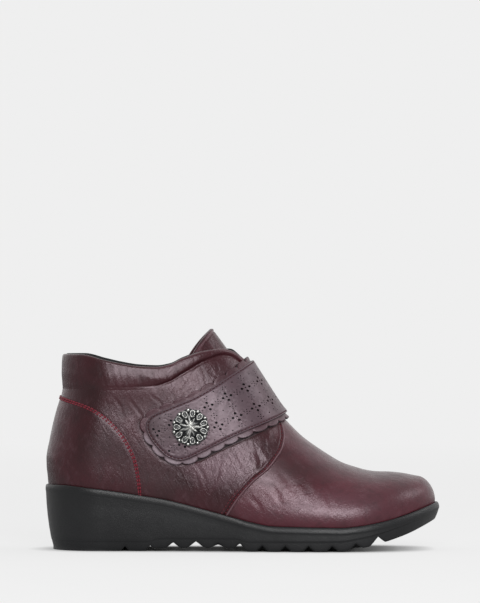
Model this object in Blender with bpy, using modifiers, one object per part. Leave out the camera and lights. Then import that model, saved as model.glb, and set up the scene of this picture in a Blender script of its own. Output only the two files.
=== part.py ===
"""Right-foot wedge ankle boot with a scalloped instep strap and a flower-shaped metal button.

Metres, +Z up, toe towards +X, outer side of the foot towards -Y, origin under the middle of the sole.
"""

import math

import bpy
import numpy as np

for thing in list(bpy.data.objects):
    bpy.data.objects.remove(thing)

# Driving sizes of the foot form that the upper is shaped on
LAST_LENGTH = 0.250
BALL_WIDTH = 0.085
INSTEP_HEIGHT = 0.100
SHAFT_HEIGHT = 0.0855

# Driving sizes of the sole
WEDGE_HEIGHT = 0.043
FOREFOOT_THICKNESS = 0.016
TOE_SPRING = 0.0215
ARCH_LIFT = 0.002
SOLE_MARGIN = 0.0052
SOLE_DRAFT = 0.12
LEDGE_DEPTH = 0.0015
NOTCH_COUNT = 12
NOTCH_MIDDLE = 0.523
NOTCH_PITCH = 0.0150
NOTCH_DEPTH = 0.0055
NOTCH_WIDTH = 0.0080
INSOLE_THICKNESS = 0.0035

# Wall thicknesses of the upper and the tongue
VAMP_WALL = 0.0024
QUARTER_WALL = 0.0034
COLLAR_WALL = 0.0041
STEP_RUN = 0.0005
TONGUE_WALL = 0.0030
TONGUE_WIDTH = 0.074
TONGUE_TOP = 0.0535
TONGUE_BASE = 0.029
TONGUE_SLACK = 0.0032

# Strap, its scalloped lower layer and the button
STRAP_WIDTH = 0.036
STRAP_LAYER = 0.0016
EDGING_LAYER = 0.0012
SCALLOP_REACH = 0.0034
SCALLOP_PITCH = 0.0095
STRAP_OUTER_REACH = 0.0945
STRAP_INNER_REACH = 0.066
STRAP_SLOPE = math.radians(25.6)
STRAP_STATION = 0.350
STRAP_UP = 0.320
BUTTON_RADIUS = 0.0122
BUTTON_HEIGHT = 0.0034
BUTTON_REACH = 0.069
BUTTON_PETALS = 11

# Air left between neighbouring pieces
CLEARANCE = 0.0004

# Half widths at the feather: station, outer half, inner half, ridge shift (shares of BALL_WIDTH)
PLAN = (
    (0.00, 0.360, 0.360, 0.000),
    (0.10, 0.360, 0.357, 0.000),
    (0.20, 0.365, 0.355, 0.000),
    (0.30, 0.375, 0.345, 0.000),
    (0.40, 0.395, 0.340, 0.005),
    (0.50, 0.430, 0.365, 0.010),
    (0.58, 0.465, 0.412, 0.020),
    (0.66, 0.493, 0.465, 0.030),
    (0.70, 0.500, 0.485, 0.035),
    (0.74, 0.497, 0.498, 0.040),
    (0.82, 0.475, 0.490, 0.055),
    (0.90, 0.435, 0.462, 0.070),
    (1.00, 0.380, 0.420, 0.080),
)

# Top line of the foot above the sole's rim: station, share of INSTEP_HEIGHT
RIDGE = (
    (0.000, 2.717),
    (0.260, 1.791),
    (0.420, 1.271),
    (0.503, 1.008),
    (0.546, 0.864),
    (0.592, 0.711),
    (0.619, 0.641),
    (0.654, 0.560),
    (0.696, 0.484),
    (0.748, 0.403),
    (0.789, 0.356),
    (0.840, 0.303),
    (0.891, 0.262),
    (0.936, 0.217),
    (0.972, 0.176),
    (1.000, 0.139),
)

# Roundness of the cross-sections: station, exponent
FULLNESS = (
    (0.00, 2.3),
    (0.25, 2.2),
    (0.45, 2.1),
    (0.58, 1.95),
    (0.70, 2.0),
    (0.82, 2.3),
    (0.92, 2.6),
    (1.00, 2.6),
)

# Back of the heel: share of SHAFT_HEIGHT above the wedge, set-back as a share of LAST_LENGTH
HEEL_BACK = (
    (0.000, 0.0008),
    (0.072, -0.0010),
    (0.135, -0.0034),
    (0.196, -0.0038),
    (0.258, -0.0012),
    (0.320, 0.0036),
    (0.382, 0.0076),
    (0.443, 0.0122),
    (0.505, 0.0172),
    (0.567, 0.0230),
    (0.629, 0.0298),
    (0.691, 0.0356),
    (0.753, 0.0392),
    (0.814, 0.0404),
    (0.936, 0.0406),
    (1.000, 0.0420),
)

# Top of the sole: station, share of the wedge's rise, thickness share, toe spring share, arch share
SOLE_LINES = (
    (-0.020, 0.975, 1.000, 0.000, 0.0),
    (0.032, 1.000, 1.000, 0.000, 0.0),
    (0.108, 0.930, 1.000, 0.000, 0.0),
    (0.180, 0.840, 1.000, 0.000, 0.0),
    (0.252, 0.737, 1.000, 0.000, 0.0),
    (0.284, 0.690, 1.000, 0.000, 1.0),
    (0.334, 0.589, 1.000, 0.000, 1.0),
    (0.384, 0.470, 1.000, 0.000, 1.0),
    (0.480, 0.230, 1.000, 0.000, 1.0),
    (0.520, 0.130, 1.000, 0.000, 0.0),
    (0.584, 0.026, 1.000, 0.000, 0.0),
    (0.652, 0.010, 1.000, 0.000, 0.0),
    (0.712, 0.000, 1.000, 0.000, 0.0),
    (0.750, 0.000, 0.975, 0.008, 0.0),
    (0.800, 0.000, 0.925, 0.093, 0.0),
    (0.856, 0.000, 0.863, 0.256, 0.0),
    (0.912, 0.000, 0.800, 0.479, 0.0),
    (0.972, 0.000, 0.744, 0.767, 0.0),
    (1.020, 0.000, 0.650, 1.040, 0.0),
)

# Collar edge: station, share of SHAFT_HEIGHT above the wedge, depth of the padded band (share of SHAFT_HEIGHT)
COLLAR = (
    (0.000, 1.000, 0.232),
    (0.084, 0.998, 0.230),
    (0.136, 0.960, 0.205),
    (0.180, 0.930, 0.180),
    (0.228, 0.909, 0.158),
    (0.272, 0.904, 0.145),
    (0.308, 0.922, 0.130),
    (0.340, 0.968, 0.120),
    (0.400, 1.028, 0.076),
    (0.440, 1.042, 0.050),
    (0.464, 1.025, 0.042),
    (0.494, 0.958, 0.036),
)

# Front edge of the quarter over the vamp: share of the way, station, share of the height to the ridge
QUARTER_EDGE = (
    (0.000, 0.463, 0.000),
    (0.199, 0.500, 0.157),
    (0.346, 0.532, 0.293),
    (0.478, 0.565, 0.442),
    (0.589, 0.588, 0.595),
    (0.685, 0.603, 0.737),
    (0.757, 0.606, 0.835),
    (0.829, 0.601, 0.898),
    (0.914, 0.590, 0.947),
    (1.000, 0.580, 0.996),
)
FACING_TOP = 0.494

# Side of the sole from the rim down: margin lost (share of SOLE_MARGIN), counted from the rim, the floor
# or half-way, distance (share of FOREFOOT_THICKNESS)
SOLE_RINGS = (
    (0.07, "rim", 0.00),
    (0.00, "rim", 0.05),
    (0.00, "rim", 0.19),
    (0.05, "rim", 0.21),
    (0.05, "middle", 0.00),
    (0.05, "floor", 0.41),
    (0.42, "floor", 0.39),
    (0.44, "floor", 0.09),
    (0.72, "floor", 0.00),
)

# Strap edges: share of its outer reach, upper and lower edge (shares of STRAP_WIDTH)
STRAP_EDGES = (
    (-0.86, -0.505, 0.490),
    (-0.74, -0.486, 0.492),
    (-0.59, -0.460, 0.490),
    (-0.45, -0.478, 0.508),
    (-0.30, -0.520, 0.540),
    (-0.13, -0.570, 0.556),
    (0.00, -0.590, 0.562),
    (0.35, -0.550, 0.545),
    (0.70, -0.500, 0.510),
)
STRAP_ROUND_FROM = -0.857
STRAP_ROUNDNESS = 2.6

# Sideways narrowing of the tongue: share of the way from its base to its top, share of TONGUE_WIDTH
TONGUE_SIDES = (
    (0.00, 0.55),
    (0.12, 0.72),
    (0.35, 0.86),
    (0.70, 0.97),
    (1.00, 1.00),
)

# How finely the shell is divided
LOW_ROWS = 12
FACING_ROWS = 4
BAND_ROWS = 3
QUARTER_COLUMNS = 14
VAMP_COLUMNS = 16


def follow(table, column, at):
    """Smooth curve through one column of a table, with no overshoot."""
    ends = np.array([row[0] for row in table])
    values = np.array([row[column] for row in table])
    step = np.diff(ends)
    rise = np.diff(values) / step
    first, second = rise[:-1], rise[1:]
    same = first * second > 0
    near, far = 2 * step[1:] + step[:-1], step[1:] + 2 * step[:-1]
    mean = (near + far) / (near / np.where(same, first, 1) + far / np.where(same, second, 1))
    slope = np.concatenate([rise[:1], np.where(same, mean, 0), rise[-1:]])
    at = np.clip(np.asarray(at, float), ends[0], ends[-1])
    i = np.clip(np.searchsorted(ends, at, side="right") - 1, 0, len(step) - 1)
    t = (at - ends[i]) / step[i]
    start = (1 + 2 * t) * (1 - t) ** 2 * values[i] + t * (1 - t) ** 2 * step[i] * slope[i]
    end = t**2 * (3 - 2 * t) * values[i + 1] + t**2 * (t - 1) * step[i] * slope[i + 1]
    return start + end


def station(x):
    return x / LAST_LENGTH + 0.5


def position(share):
    return (share - 0.5) * LAST_LENGTH


def rounded(distance, radius):
    """Quarter-circle rise from 0 to 1 over one radius."""
    return np.sqrt(np.clip(1 - (1 - np.clip(distance / radius, 0, 1)) ** 2, 0, 1))


def rim_height(x):
    s = station(x)
    wedge = (WEDGE_HEIGHT - FOREFOOT_THICKNESS) * follow(SOLE_LINES, 1, s)
    return FOREFOOT_THICKNESS * follow(SOLE_LINES, 2, s) + wedge + TOE_SPRING * follow(SOLE_LINES, 3, s)


def floor_height(x):
    s = station(x)
    return TOE_SPRING * follow(SOLE_LINES, 3, s) + ARCH_LIFT * follow(SOLE_LINES, 4, s)


def ridge_height(x):
    rise = INSTEP_HEIGHT * follow(RIDGE, 1, station(x))
    return rim_height(x) + rise * rounded(position(1) - x, 0.036 * LAST_LENGTH)


def heel_line(z):
    return position(follow(HEEL_BACK, 1, (z - WEDGE_HEIGHT) / SHAFT_HEIGHT))


def last_side(x, z, side):
    """Sideways position of the foot form's surface, side -1 outer and +1 inner."""
    s = station(x)
    base = rim_height(x)
    up = np.clip((z - base) / np.maximum(ridge_height(x) - base, 1e-6), 0, 1)
    shift = BALL_WIDTH * follow(PLAN, 3, s)
    half = BALL_WIDTH * follow(PLAN, 1 if side < 0 else 2, s) - side * shift
    half = half * rounded(position(1) - x, 0.21 * LAST_LENGTH)
    half = half * rounded(x - heel_line(z), 0.125 * LAST_LENGTH)
    tuck = 0.035 * (1 - np.clip((z - base) / (0.12 * INSTEP_HEIGHT), 0, 1)) ** 2
    half = half * (1 - tuck)
    return shift + side * half * np.sqrt(np.clip(1 - up ** follow(FULLNESS, 1, s), 0, 1))


def on_last(flat, side):
    """Points (x, z) of the side view lifted onto the foot form."""
    x, z = flat[..., 0], flat[..., 1]
    return np.stack([x, last_side(x, z, side), z], axis=-1)


def spaced(points, shares):
    """Points at the given shares of a line's length."""
    lengths = np.linalg.norm(np.diff(points, axis=0), axis=1)
    run = np.concatenate([[0], np.cumsum(lengths)])
    return np.stack([np.interp(shares * run[-1], run, points[:, k]) for k in range(points.shape[1])], axis=-1)


def up_share(x, share):
    base = rim_height(x)
    return base + share * (ridge_height(x) - base)


def quarter_edge():
    way = np.linspace(0, 1, 121)
    x = position(follow(QUARTER_EDGE, 1, way))
    return np.stack([x, up_share(x, follow(QUARTER_EDGE, 2, way))], axis=-1)


def collar_height(x):
    return WEDGE_HEIGHT + SHAFT_HEIGHT * follow(COLLAR, 1, station(x))


def band_height(x):
    return collar_height(x) - SHAFT_HEIGHT * follow(COLLAR, 2, station(x))


def facing():
    """Edge of the slit from the throat up to the collar's front corner."""
    way = np.linspace(0, 1, 61)
    x = position(QUARTER_EDGE[-1][1] + (FACING_TOP - QUARTER_EDGE[-1][1]) * way)
    base = rim_height(x[-1])
    top = min((collar_height(x[-1]) - base) / (ridge_height(x[-1]) - base), 0.985)
    low = QUARTER_EDGE[-1][2]
    return np.stack([x, up_share(x, low + (top - low) * way)], axis=-1)


def ridge_line(low_x, high_x):
    """The ridge from the toe tip back to the throat."""
    x = high_x + (low_x - high_x) * np.linspace(0, 1, 201) ** 2
    return np.stack([x, ridge_height(x)], axis=-1)


def heel_column(low, high, shares):
    z = low + (high - low) * shares
    return np.stack([heel_line(z), z], axis=-1)


def level_line(height, start, end):
    """A line of the side view that runs from start to end at the given height."""

    def at(share):
        x = start[0] + (end[0] - start[0]) * share
        z = height(x) + (end[1] - height(end[0])) * share**4 + (start[1] - height(start[0])) * (1 - share) ** 4
        return np.stack([x, z], axis=-1)

    return at


def blend(bottom, top, left, right, across, up):
    """Surface patch spanned by four edges; across is one row of shares for each share of up."""
    a, u = across[..., None], up[:, None, None]
    sides = (1 - a) * left[:, None] + a * right[:, None]
    corners = (1 - u) * ((1 - a) * left[0] + a * right[0]) + u * ((1 - a) * left[-1] + a * right[-1])
    return (1 - u) * bottom(across) + u * top(across) + sides - corners


def shell_patches():
    """Side views of the quarter, the collar band and the vamp, as grids of (x, z)."""
    edge, slit = quarter_edge(), facing()
    heel_low = rim_height(heel_line(WEDGE_HEIGHT))
    rows = LOW_ROWS + FACING_ROWS
    up = np.linspace(0, 1, rows + 1)
    low_key = spaced(edge, np.linspace(0, 1, LOW_ROWS + 1))
    below_band = 1 - follow(COLLAR, 2, FACING_TOP) * SHAFT_HEIGHT / (slit[-1, 1] - slit[0, 1])
    high_key = spaced(slit, below_band * np.linspace(0, 1, FACING_ROWS + 1)[1:])
    key = np.concatenate([low_key, high_key])
    heel_band = band_height(position(0.03))
    left = heel_column(heel_low, heel_band, up)
    bottom = level_line(rim_height, left[0], key[0])
    seam = level_line(band_height, left[-1], key[-1])
    s = np.linspace(0, 1, QUARTER_COLUMNS + 1)[None]
    even = up[:, None] ** 2
    both_ends = (1 - np.cos(np.pi * s)) / 2
    across = (1 - even) * (1 - np.cos(np.pi * s / 2)) + even * both_ends
    quarter = blend(bottom, seam, left, key, across, up)

    up = np.concatenate([[0.0], np.linspace(0.04, 1, BAND_ROWS)])
    band_key = spaced(slit, below_band + (1 - below_band) * up)
    band_left = heel_column(heel_band, collar_height(position(0.03)), up)
    rim = level_line(collar_height, band_left[-1], band_key[-1])
    band = blend(seam, rim, band_left, band_key, np.repeat(both_ends, len(up), axis=0), up)

    up = np.linspace(0, 1, LOW_ROWS + 1)
    ridge = spaced(ridge_line(key[LOW_ROWS, 0], position(1)), up**1.35)
    tip_floor = level_line(rim_height, key[0], ridge[0])

    def throat(share):
        return key[LOW_ROWS] + (ridge[-1] - key[LOW_ROWS]) * share[..., None]

    def vamp_at(s):
        return blend(tip_floor, throat, key[: LOW_ROWS + 1], ridge, np.sin(np.pi * s / 2), up)

    start = on_last(vamp_at(np.zeros((LOW_ROWS + 1, 1))), -1)
    near = on_last(vamp_at(np.full((LOW_ROWS + 1, 1), 0.01)), -1)
    riser = STEP_RUN * 0.01 / np.maximum(np.linalg.norm(near - start, axis=-1), 1e-6)
    riser = np.minimum(riser, 0.2)
    s = np.linspace(0, 1, VAMP_COLUMNS)[None]
    vamp = vamp_at(riser + (1 - riser) * s)
    return quarter, band, vamp


def make_material(name, colour, roughness, metallic=0.0):
    material = bpy.data.materials.new(name)
    material.use_nodes = True
    shader = material.node_tree.nodes["Principled BSDF"]
    shader.inputs["Base Color"].default_value = (*colour, 1)
    shader.inputs["Roughness"].default_value = roughness
    shader.inputs["Metallic"].default_value = metallic
    return material


def make_object(name, points, faces, collection, material=None):
    mesh = bpy.data.meshes.new(name)
    mesh.from_pydata([tuple(float(v) for v in p) for p in points], [], faces)
    mesh.update()
    made = bpy.data.objects.new(name, mesh)
    collection.objects.link(made)
    if material:
        mesh.materials.append(material)
    return made


def add_wall(made, thickness, offset):
    solidify = made.modifiers.new("wall", "SOLIDIFY")
    solidify.thickness = thickness
    solidify.offset = offset
    solidify.use_quality_normals = True
    return solidify


def make_upper(collection, material):
    """The open shell: rows run from the feather to the collar, columns from ridge to heel to ridge."""
    quarter, band, vamp = shell_patches()
    rows = np.concatenate([quarter, band[1:]])
    skirt = LEDGE_DEPTH - CLEARANCE
    points, walls, index = [], [], {}
    outer_end = QUARTER_COLUMNS + vamp.shape[1]
    for i in range(len(rows) + 1):
        r = max(i - 1, 0)
        columns = list(rows[r])
        if r <= LOW_ROWS:
            columns += list(vamp[r])
        for side in (-1, 1):
            for c, flat in enumerate(columns):
                if side > 0 and c in (0, outer_end):
                    index[i, side * c] = index[i, -c]
                    continue
                spot = on_last(np.array(flat), side)
                if i == 0:
                    spot = spot - np.array([0, 0, skirt])
                index[i, side * c] = len(points)
                points.append(spot)
                if c > QUARTER_COLUMNS:
                    walls.append(VAMP_WALL)
                elif r < len(quarter):
                    walls.append(QUARTER_WALL)
                else:
                    fade = np.clip((spot[0] - position(0.38)) / (0.08 * LAST_LENGTH), 0, 1)
                    walls.append(COLLAR_WALL + (QUARTER_WALL - COLLAR_WALL) * fade)
    faces = []
    for i in range(len(rows)):
        last = outer_end if i < LOW_ROWS + 1 else QUARTER_COLUMNS
        for c in range(-last, last):
            corners = ((i, c), (i + 1, c), (i + 1, c + 1), (i, c + 1))
            if all(corner in index for corner in corners):
                faces.append([index[corner] for corner in corners])
    made = make_object("upper", points, faces, collection, material)
    group = made.vertex_groups.new(name="wall")
    for i, wall in enumerate(walls):
        group.add([i], wall / COLLAR_WALL, "REPLACE")
    solidify = add_wall(made, COLLAR_WALL, 1)
    solidify.vertex_group = "wall"
    solidify.thickness_vertex_group = 0
    return made


def sole_outline(count):
    """The foot form's outline at the feather, with outward normals, from heel to toe on each side."""
    start, end = heel_line(WEDGE_HEIGHT), position(1)
    x = start + (end - start) * (1 - np.cos(np.pi * np.linspace(0, 1, count + 1))) / 2
    z = rim_height(x)
    outer = np.stack([x, last_side(x, z, -1)], axis=-1)
    inner = np.stack([x, last_side(x, z, 1)], axis=-1)
    loop = np.concatenate([outer, inner[-2:0:-1]])
    along = np.roll(loop, -1, axis=0) - np.roll(loop, 1, axis=0)
    normals = np.stack([along[:, 1], -along[:, 0]], axis=-1)
    return loop, normals / np.linalg.norm(normals, axis=1, keepdims=True)


def ring(loop, normals, margin, height):
    flat = loop + normals * np.asarray(margin).reshape(-1, 1)
    return np.column_stack([flat, height(loop[:, 0])])


def close_rings(rings):
    """Faces of a stack of rings from the top down, capped with strips across the foot."""
    count = len(rings[0])
    half = count // 2
    faces = []
    for k in range(len(rings) - 1):
        for j in range(count):
            n = (j + 1) % count
            faces.append([k * count + j, (k + 1) * count + j, (k + 1) * count + n, k * count + n])
    for base, turn in ((0, 1), ((len(rings) - 1) * count, -1)):
        for j in range(half):
            strip = [j, j + 1, (count - j - 1) % count, (count - j) % count]
            strip = [base + v for v in dict.fromkeys(strip)]
            faces.append(strip[::turn])
    return faces


def make_sole(collection, cutters, material):
    loop, normals = sole_outline(40)
    x = loop[:, 0]
    joint = follow(((0.480, 0), (0.510, 1)), 1, station(x))
    seat = CLEARANCE + QUARTER_WALL + (VAMP_WALL - QUARTER_WALL) * joint
    rings = [
        ring(loop, normals, seat, lambda x: rim_height(x) - LEDGE_DEPTH),
        ring(loop, normals, seat, rim_height),
    ]
    for lost, origin, distance in SOLE_RINGS:
        gap = distance * FOREFOOT_THICKNESS

        def height(x, origin=origin, gap=gap):
            if origin == "middle":
                return (rim_height(x) + floor_height(x)) / 2 + 0.1 * FOREFOOT_THICKNESS
            return rim_height(x) - gap if origin == "rim" else floor_height(x) + gap

        draft = SOLE_DRAFT * (rim_height(x) - height(x)) ** 2 / WEDGE_HEIGHT
        rings.append(ring(loop, normals, SOLE_MARGIN * (1 - lost) - draft, height))
    made = make_object("sole_unit", np.concatenate(rings), close_rings(rings), collection, material)

    points, faces = [], []
    wide = 0.7 * BALL_WIDTH
    for k in range(NOTCH_COUNT):
        x = position(NOTCH_MIDDLE) + (k - (NOTCH_COUNT - 1) / 2) * NOTCH_PITCH
        below = 0.25 * NOTCH_DEPTH
        reach = NOTCH_WIDTH / 2 * (NOTCH_DEPTH + below) / NOTCH_DEPTH
        base = len(points)
        for y in (-wide, wide):
            points += [
                (x - reach, y, floor_height(x) - below),
                (x + reach, y, floor_height(x) - below),
                (x, y, floor_height(x) + NOTCH_DEPTH),
            ]
        for face in ((0, 1, 2), (5, 4, 3), (0, 3, 4, 1), (1, 4, 5, 2), (2, 5, 3, 0)):
            faces.append([base + v for v in face])
    cutter = make_object("notches", points, faces, cutters)
    cutter.display_type = "WIRE"
    cutter.hide_render = True
    cut = made.modifiers.new("notches", "BOOLEAN")
    cut.operation = "DIFFERENCE"
    cut.solver = "EXACT"
    cut.object = cutter
    return made


def make_insole(collection, material):
    loop, normals = sole_outline(28)
    low = LEDGE_DEPTH - CLEARANCE

    def height(lift):
        return lambda x: rim_height(x) - low + lift

    inset = 2 * CLEARANCE
    rings = [
        ring(loop, normals, -inset - 0.3 * INSOLE_THICKNESS, height(INSOLE_THICKNESS)),
        ring(loop, normals, -inset, height(0.8 * INSOLE_THICKNESS)),
        ring(loop, normals, -inset, height(0)),
    ]
    return make_object("insole", np.concatenate(rings), close_rings(rings), collection, material)



class Wrap:
    """Maps a flat sheet onto the foot form: a runs across the ridge, b down the ridge, h outwards."""

    def __init__(self, low_b, high_b, low_a, high_a, step):
        self.low_b, self.low_a, self.step = low_b, low_a, step
        centre = np.array([position(STRAP_STATION), up_share(position(STRAP_STATION), STRAP_UP)])
        a_values = np.arange(low_a, high_a + step, step)
        rows = []
        for b in np.arange(low_b, high_b + step, step):
            start = centre + b * STRAP_ACROSS
            near, far = 0.0, 0.5 * LAST_LENGTH
            for _ in range(40):
                middle = (near + far) / 2
                x, z = start - middle * STRAP_ALONG
                if z < ridge_height(x):
                    near = middle
                else:
                    far = middle
            top = start - near * STRAP_ALONG
            length = 1.2 * max(-low_a, high_a)
            run = length * np.linspace(0, 1, 300) ** 2
            flat = top + run[:, None] * STRAP_ALONG
            flat[:, 0] = np.maximum(flat[:, 0], position(0.01))
            outer, inner = on_last(flat, -1), on_last(flat, 1)
            points = np.concatenate([outer[:0:-1], inner])
            steps = np.linalg.norm(np.diff(points, axis=0), axis=1)
            arc = np.concatenate([[0], np.cumsum(steps)])
            arc -= arc[len(outer) - 1]
            rows.append([np.interp(a_values, arc, points[:, k]) for k in range(3)])
        self.points = np.transpose(np.array(rows), (0, 2, 1))
        normals = np.cross(np.gradient(self.points, axis=0), np.gradient(self.points, axis=1))
        self.normals = normals / np.linalg.norm(normals, axis=-1, keepdims=True)

    def __call__(self, a, b, h):
        a, b, h = np.broadcast_arrays(np.asarray(a, float), b, h)
        u = np.clip((b - self.low_b) / self.step, 0, len(self.points) - 1.001)
        v = np.clip((a - self.low_a) / self.step, 0, self.points.shape[1] - 1.001)
        i, j = u.astype(int), v.astype(int)
        u, v = (u - i)[..., None], (v - j)[..., None]

        def mixed(grid):
            low = grid[i, j] * (1 - v) + grid[i, j + 1] * v
            high = grid[i + 1, j] * (1 - v) + grid[i + 1, j + 1] * v
            return low * (1 - u) + high * u

        normal = mixed(self.normals)
        normal = normal / np.linalg.norm(normal, axis=-1, keepdims=True)
        return mixed(self.points) + normal * h[..., None]


def strap_outline(spacing, extra=None):
    """The strap's edge and the matching points of its middle line, both as (a, b), from the inner end round."""
    joint = STRAP_ROUND_FROM * STRAP_OUTER_REACH
    count = max(round((STRAP_INNER_REACH - joint) / spacing), 8)
    straight = np.linspace(STRAP_INNER_REACH, joint, count + 1)
    share = straight / STRAP_OUTER_REACH
    lower = np.column_stack([straight, STRAP_WIDTH * follow(STRAP_EDGES, 2, share)])
    upper = np.column_stack([straight, STRAP_WIDTH * follow(STRAP_EDGES, 1, share)])
    middle, half = (lower[-1, 1] + upper[-1, 1]) / 2, (lower[-1, 1] - upper[-1, 1]) / 2
    turn = np.linspace(0, np.pi, 181)
    power = 2 / STRAP_ROUNDNESS
    bow = np.column_stack(
        [
            joint - (STRAP_OUTER_REACH + joint) * np.abs(np.sin(turn)) ** power,
            middle + half * np.sign(np.cos(turn)) * np.abs(np.cos(turn)) ** power,
        ]
    )
    length = np.linalg.norm(np.diff(bow, axis=0), axis=1).sum()
    bow = spaced(bow, np.linspace(0, 1, 2 * round(length / spacing / 2) + 1))[1:-1]
    edge = np.concatenate([lower, bow, upper[::-1]])
    spine = np.concatenate([straight, np.full(len(bow), joint), straight[::-1]])
    centre = (lower[:, 1] + upper[:, 1]) / 2
    height = np.concatenate([centre, np.full(len(bow), centre[-1]), centre[::-1]])
    return edge, np.column_stack([spine, height])


def scalloped(edge):
    """The strap's edge pushed out into scallops, all but its inner end."""
    steps = np.linalg.norm(np.diff(edge, axis=0), axis=1)
    run = np.concatenate([[0], np.cumsum(steps)])
    count = round(run[-1] / SCALLOP_PITCH)
    phase = (run / run[-1] * count) % 1.0
    along = np.gradient(edge, axis=0)
    along /= np.linalg.norm(along, axis=1, keepdims=True)
    outwards = np.column_stack([along[:, 1], -along[:, 0]])
    bump = np.sqrt(np.clip(1 - (2 * phase - 1) ** 2, 0, 1))
    return edge + outwards * (SCALLOP_REACH * (0.15 + 0.85 * bump))[:, None]


def sheet_rings(rings, wrap, height):
    """Points and faces of a sheet between rings; the first ring is the middle line, whose ends meet."""
    count = len(rings[0])
    points, index = [], {}
    for k, loop in enumerate(rings):
        for j in range(count):
            key = (0, min(j, count - 1 - j)) if k == 0 else (k, j)
            if k == 0 and j and np.allclose(loop[j], loop[j - 1]):
                index[k, j] = index[k, j - 1]
                continue
            if key in index and key != (k, j):
                index[k, j] = index[key]
                continue
            index[k, j] = len(points)
            points.append(wrap(loop[j][0], loop[j][1], height))
    faces = []
    for k in range(len(rings) - 1):
        for j in range(count - 1):
            corners = [index[k, j], index[k, j + 1], index[k + 1, j + 1], index[k + 1, j]]
            corners = list(dict.fromkeys(corners))
            if len(corners) > 2:
                faces.append(corners)
    return points, faces


def make_strap(wrap, collection, leather, edging):
    first = QUARTER_WALL + 1.5 * CLEARANCE
    edge, spine = strap_outline(SCALLOP_PITCH / 4)
    rim = scalloped(edge)
    rings = [spine, spine + 0.5 * (edge - spine), spine + 0.97 * (edge - spine), rim]
    points, faces = sheet_rings(rings, wrap, first)
    add_wall(make_object("strap_edging", points, faces, collection, edging), EDGING_LAYER, 1)
    edge, spine = strap_outline(SCALLOP_PITCH / 2)
    rings = [spine + share * (edge - spine) for share in (0, 0.4, 0.8, 1)]
    points, faces = sheet_rings(rings, wrap, first + EDGING_LAYER + CLEARANCE)
    add_wall(make_object("strap", points, faces, collection, leather), STRAP_LAYER, 1)


def make_tongue(wrap, collection, material):
    rows, columns = 14, 12
    points, faces = [], []
    for i in range(rows + 1):
        way = i / rows
        for j in range(columns + 1):
            side = 2 * j / columns - 1
            a = side * TONGUE_WIDTH / 2 * float(follow(TONGUE_SIDES, 1, way))
            top = -TONGUE_TOP + 0.14 * TONGUE_WIDTH * side**2
            base = TONGUE_BASE - 0.08 * TONGUE_WIDTH * side**2
            inset = 3 * CLEARANCE + TONGUE_SLACK * way**1.5
            points.append(wrap(a, base + (top - base) * way, -inset))
    for i in range(rows):
        for j in range(columns):
            k = i * (columns + 1) + j
            faces.append([k, k + 1, k + columns + 2, k + columns + 1])
    add_wall(make_object("tongue", points, faces, collection, material), TONGUE_WALL, -1)


def button_height(r, turn):
    """Height of the button's face: beads round the rim, petals inside them, a small boss in the middle."""
    wave = np.cos(BUTTON_PETALS * turn)
    bead = np.clip(1 - ((r - 0.885) / 0.115) ** 2, 0, 1) * np.clip(0.5 + 0.9 * wave, 0, 1)
    petal = np.clip(1 - ((r - 0.60) / 0.20) ** 2, 0, 1) * np.clip(0.6 + 0.6 * wave, 0, 1)
    boss = np.clip(1 - (r / 0.34) ** 2, 0, 1)
    return 0.42 + 0.30 * bead**0.5 + 0.34 * petal**0.7 + 0.58 * boss**0.5


def make_button(wrap, collection, material):
    top = QUARTER_WALL + 2.5 * CLEARANCE + EDGING_LAYER + STRAP_LAYER
    centre = wrap(-BUTTON_REACH, 0.0, top)
    normal = wrap(-BUTTON_REACH, 0.0, top + 1) - centre
    along = np.cross(np.array([0, 0, 1.0]), normal)
    along /= np.linalg.norm(along)
    across = np.cross(normal, along)
    turns = np.linspace(0, 2 * np.pi, 48, endpoint=False)
    under = wrap(-BUTTON_REACH + BUTTON_RADIUS * np.cos(turns), BUTTON_RADIUS * np.sin(turns), top)
    lift = max(float(((under - centre) @ normal).max()), 0) + CLEARANCE
    turns = np.linspace(0, 2 * np.pi, 6 * BUTTON_PETALS, endpoint=False)
    radii = np.array([0.0, 0.2, 0.34, 0.45, 0.6, 0.72, 0.8, 0.885, 0.95, 1.0])
    points, faces = [centre + normal * (lift + BUTTON_HEIGHT)], []
    for r in radii[1:]:
        height = button_height(r, turns) * BUTTON_HEIGHT
        for turn, rise in zip(turns, height):
            spot = BUTTON_RADIUS * r * (math.cos(turn) * along + math.sin(turn) * across)
            points.append(centre + normal * (lift + rise) + spot)
    for turn in turns:
        spot = BUTTON_RADIUS * (math.cos(turn) * along + math.sin(turn) * across)
        points.append(centre + normal * lift + spot)
    points.append(centre + normal * lift)
    count = len(turns)
    for j in range(count):
        n = (j + 1) % count
        faces.append([0, 1 + j, 1 + n])
        for k in range(len(radii) - 1):
            low = 1 + k * count
            faces.append([low + j, low + count + j, low + count + n, low + n])
        low = 1 + (len(radii) - 1) * count
        faces.append([len(points) - 1, low + n, low + j])
    make_object("flower_button", points, faces, collection, material)


parts = bpy.data.collections.new("wedge_ankle_boot")
helpers = bpy.data.collections.new("cutters")
bpy.context.scene.collection.children.link(parts)
bpy.context.scene.collection.children.link(helpers)
helpers.hide_render = True

STRAP_ALONG = np.array([-math.cos(STRAP_SLOPE), -math.sin(STRAP_SLOPE)])
STRAP_ACROSS = np.array([math.sin(STRAP_SLOPE), -math.cos(STRAP_SLOPE)])

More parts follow.
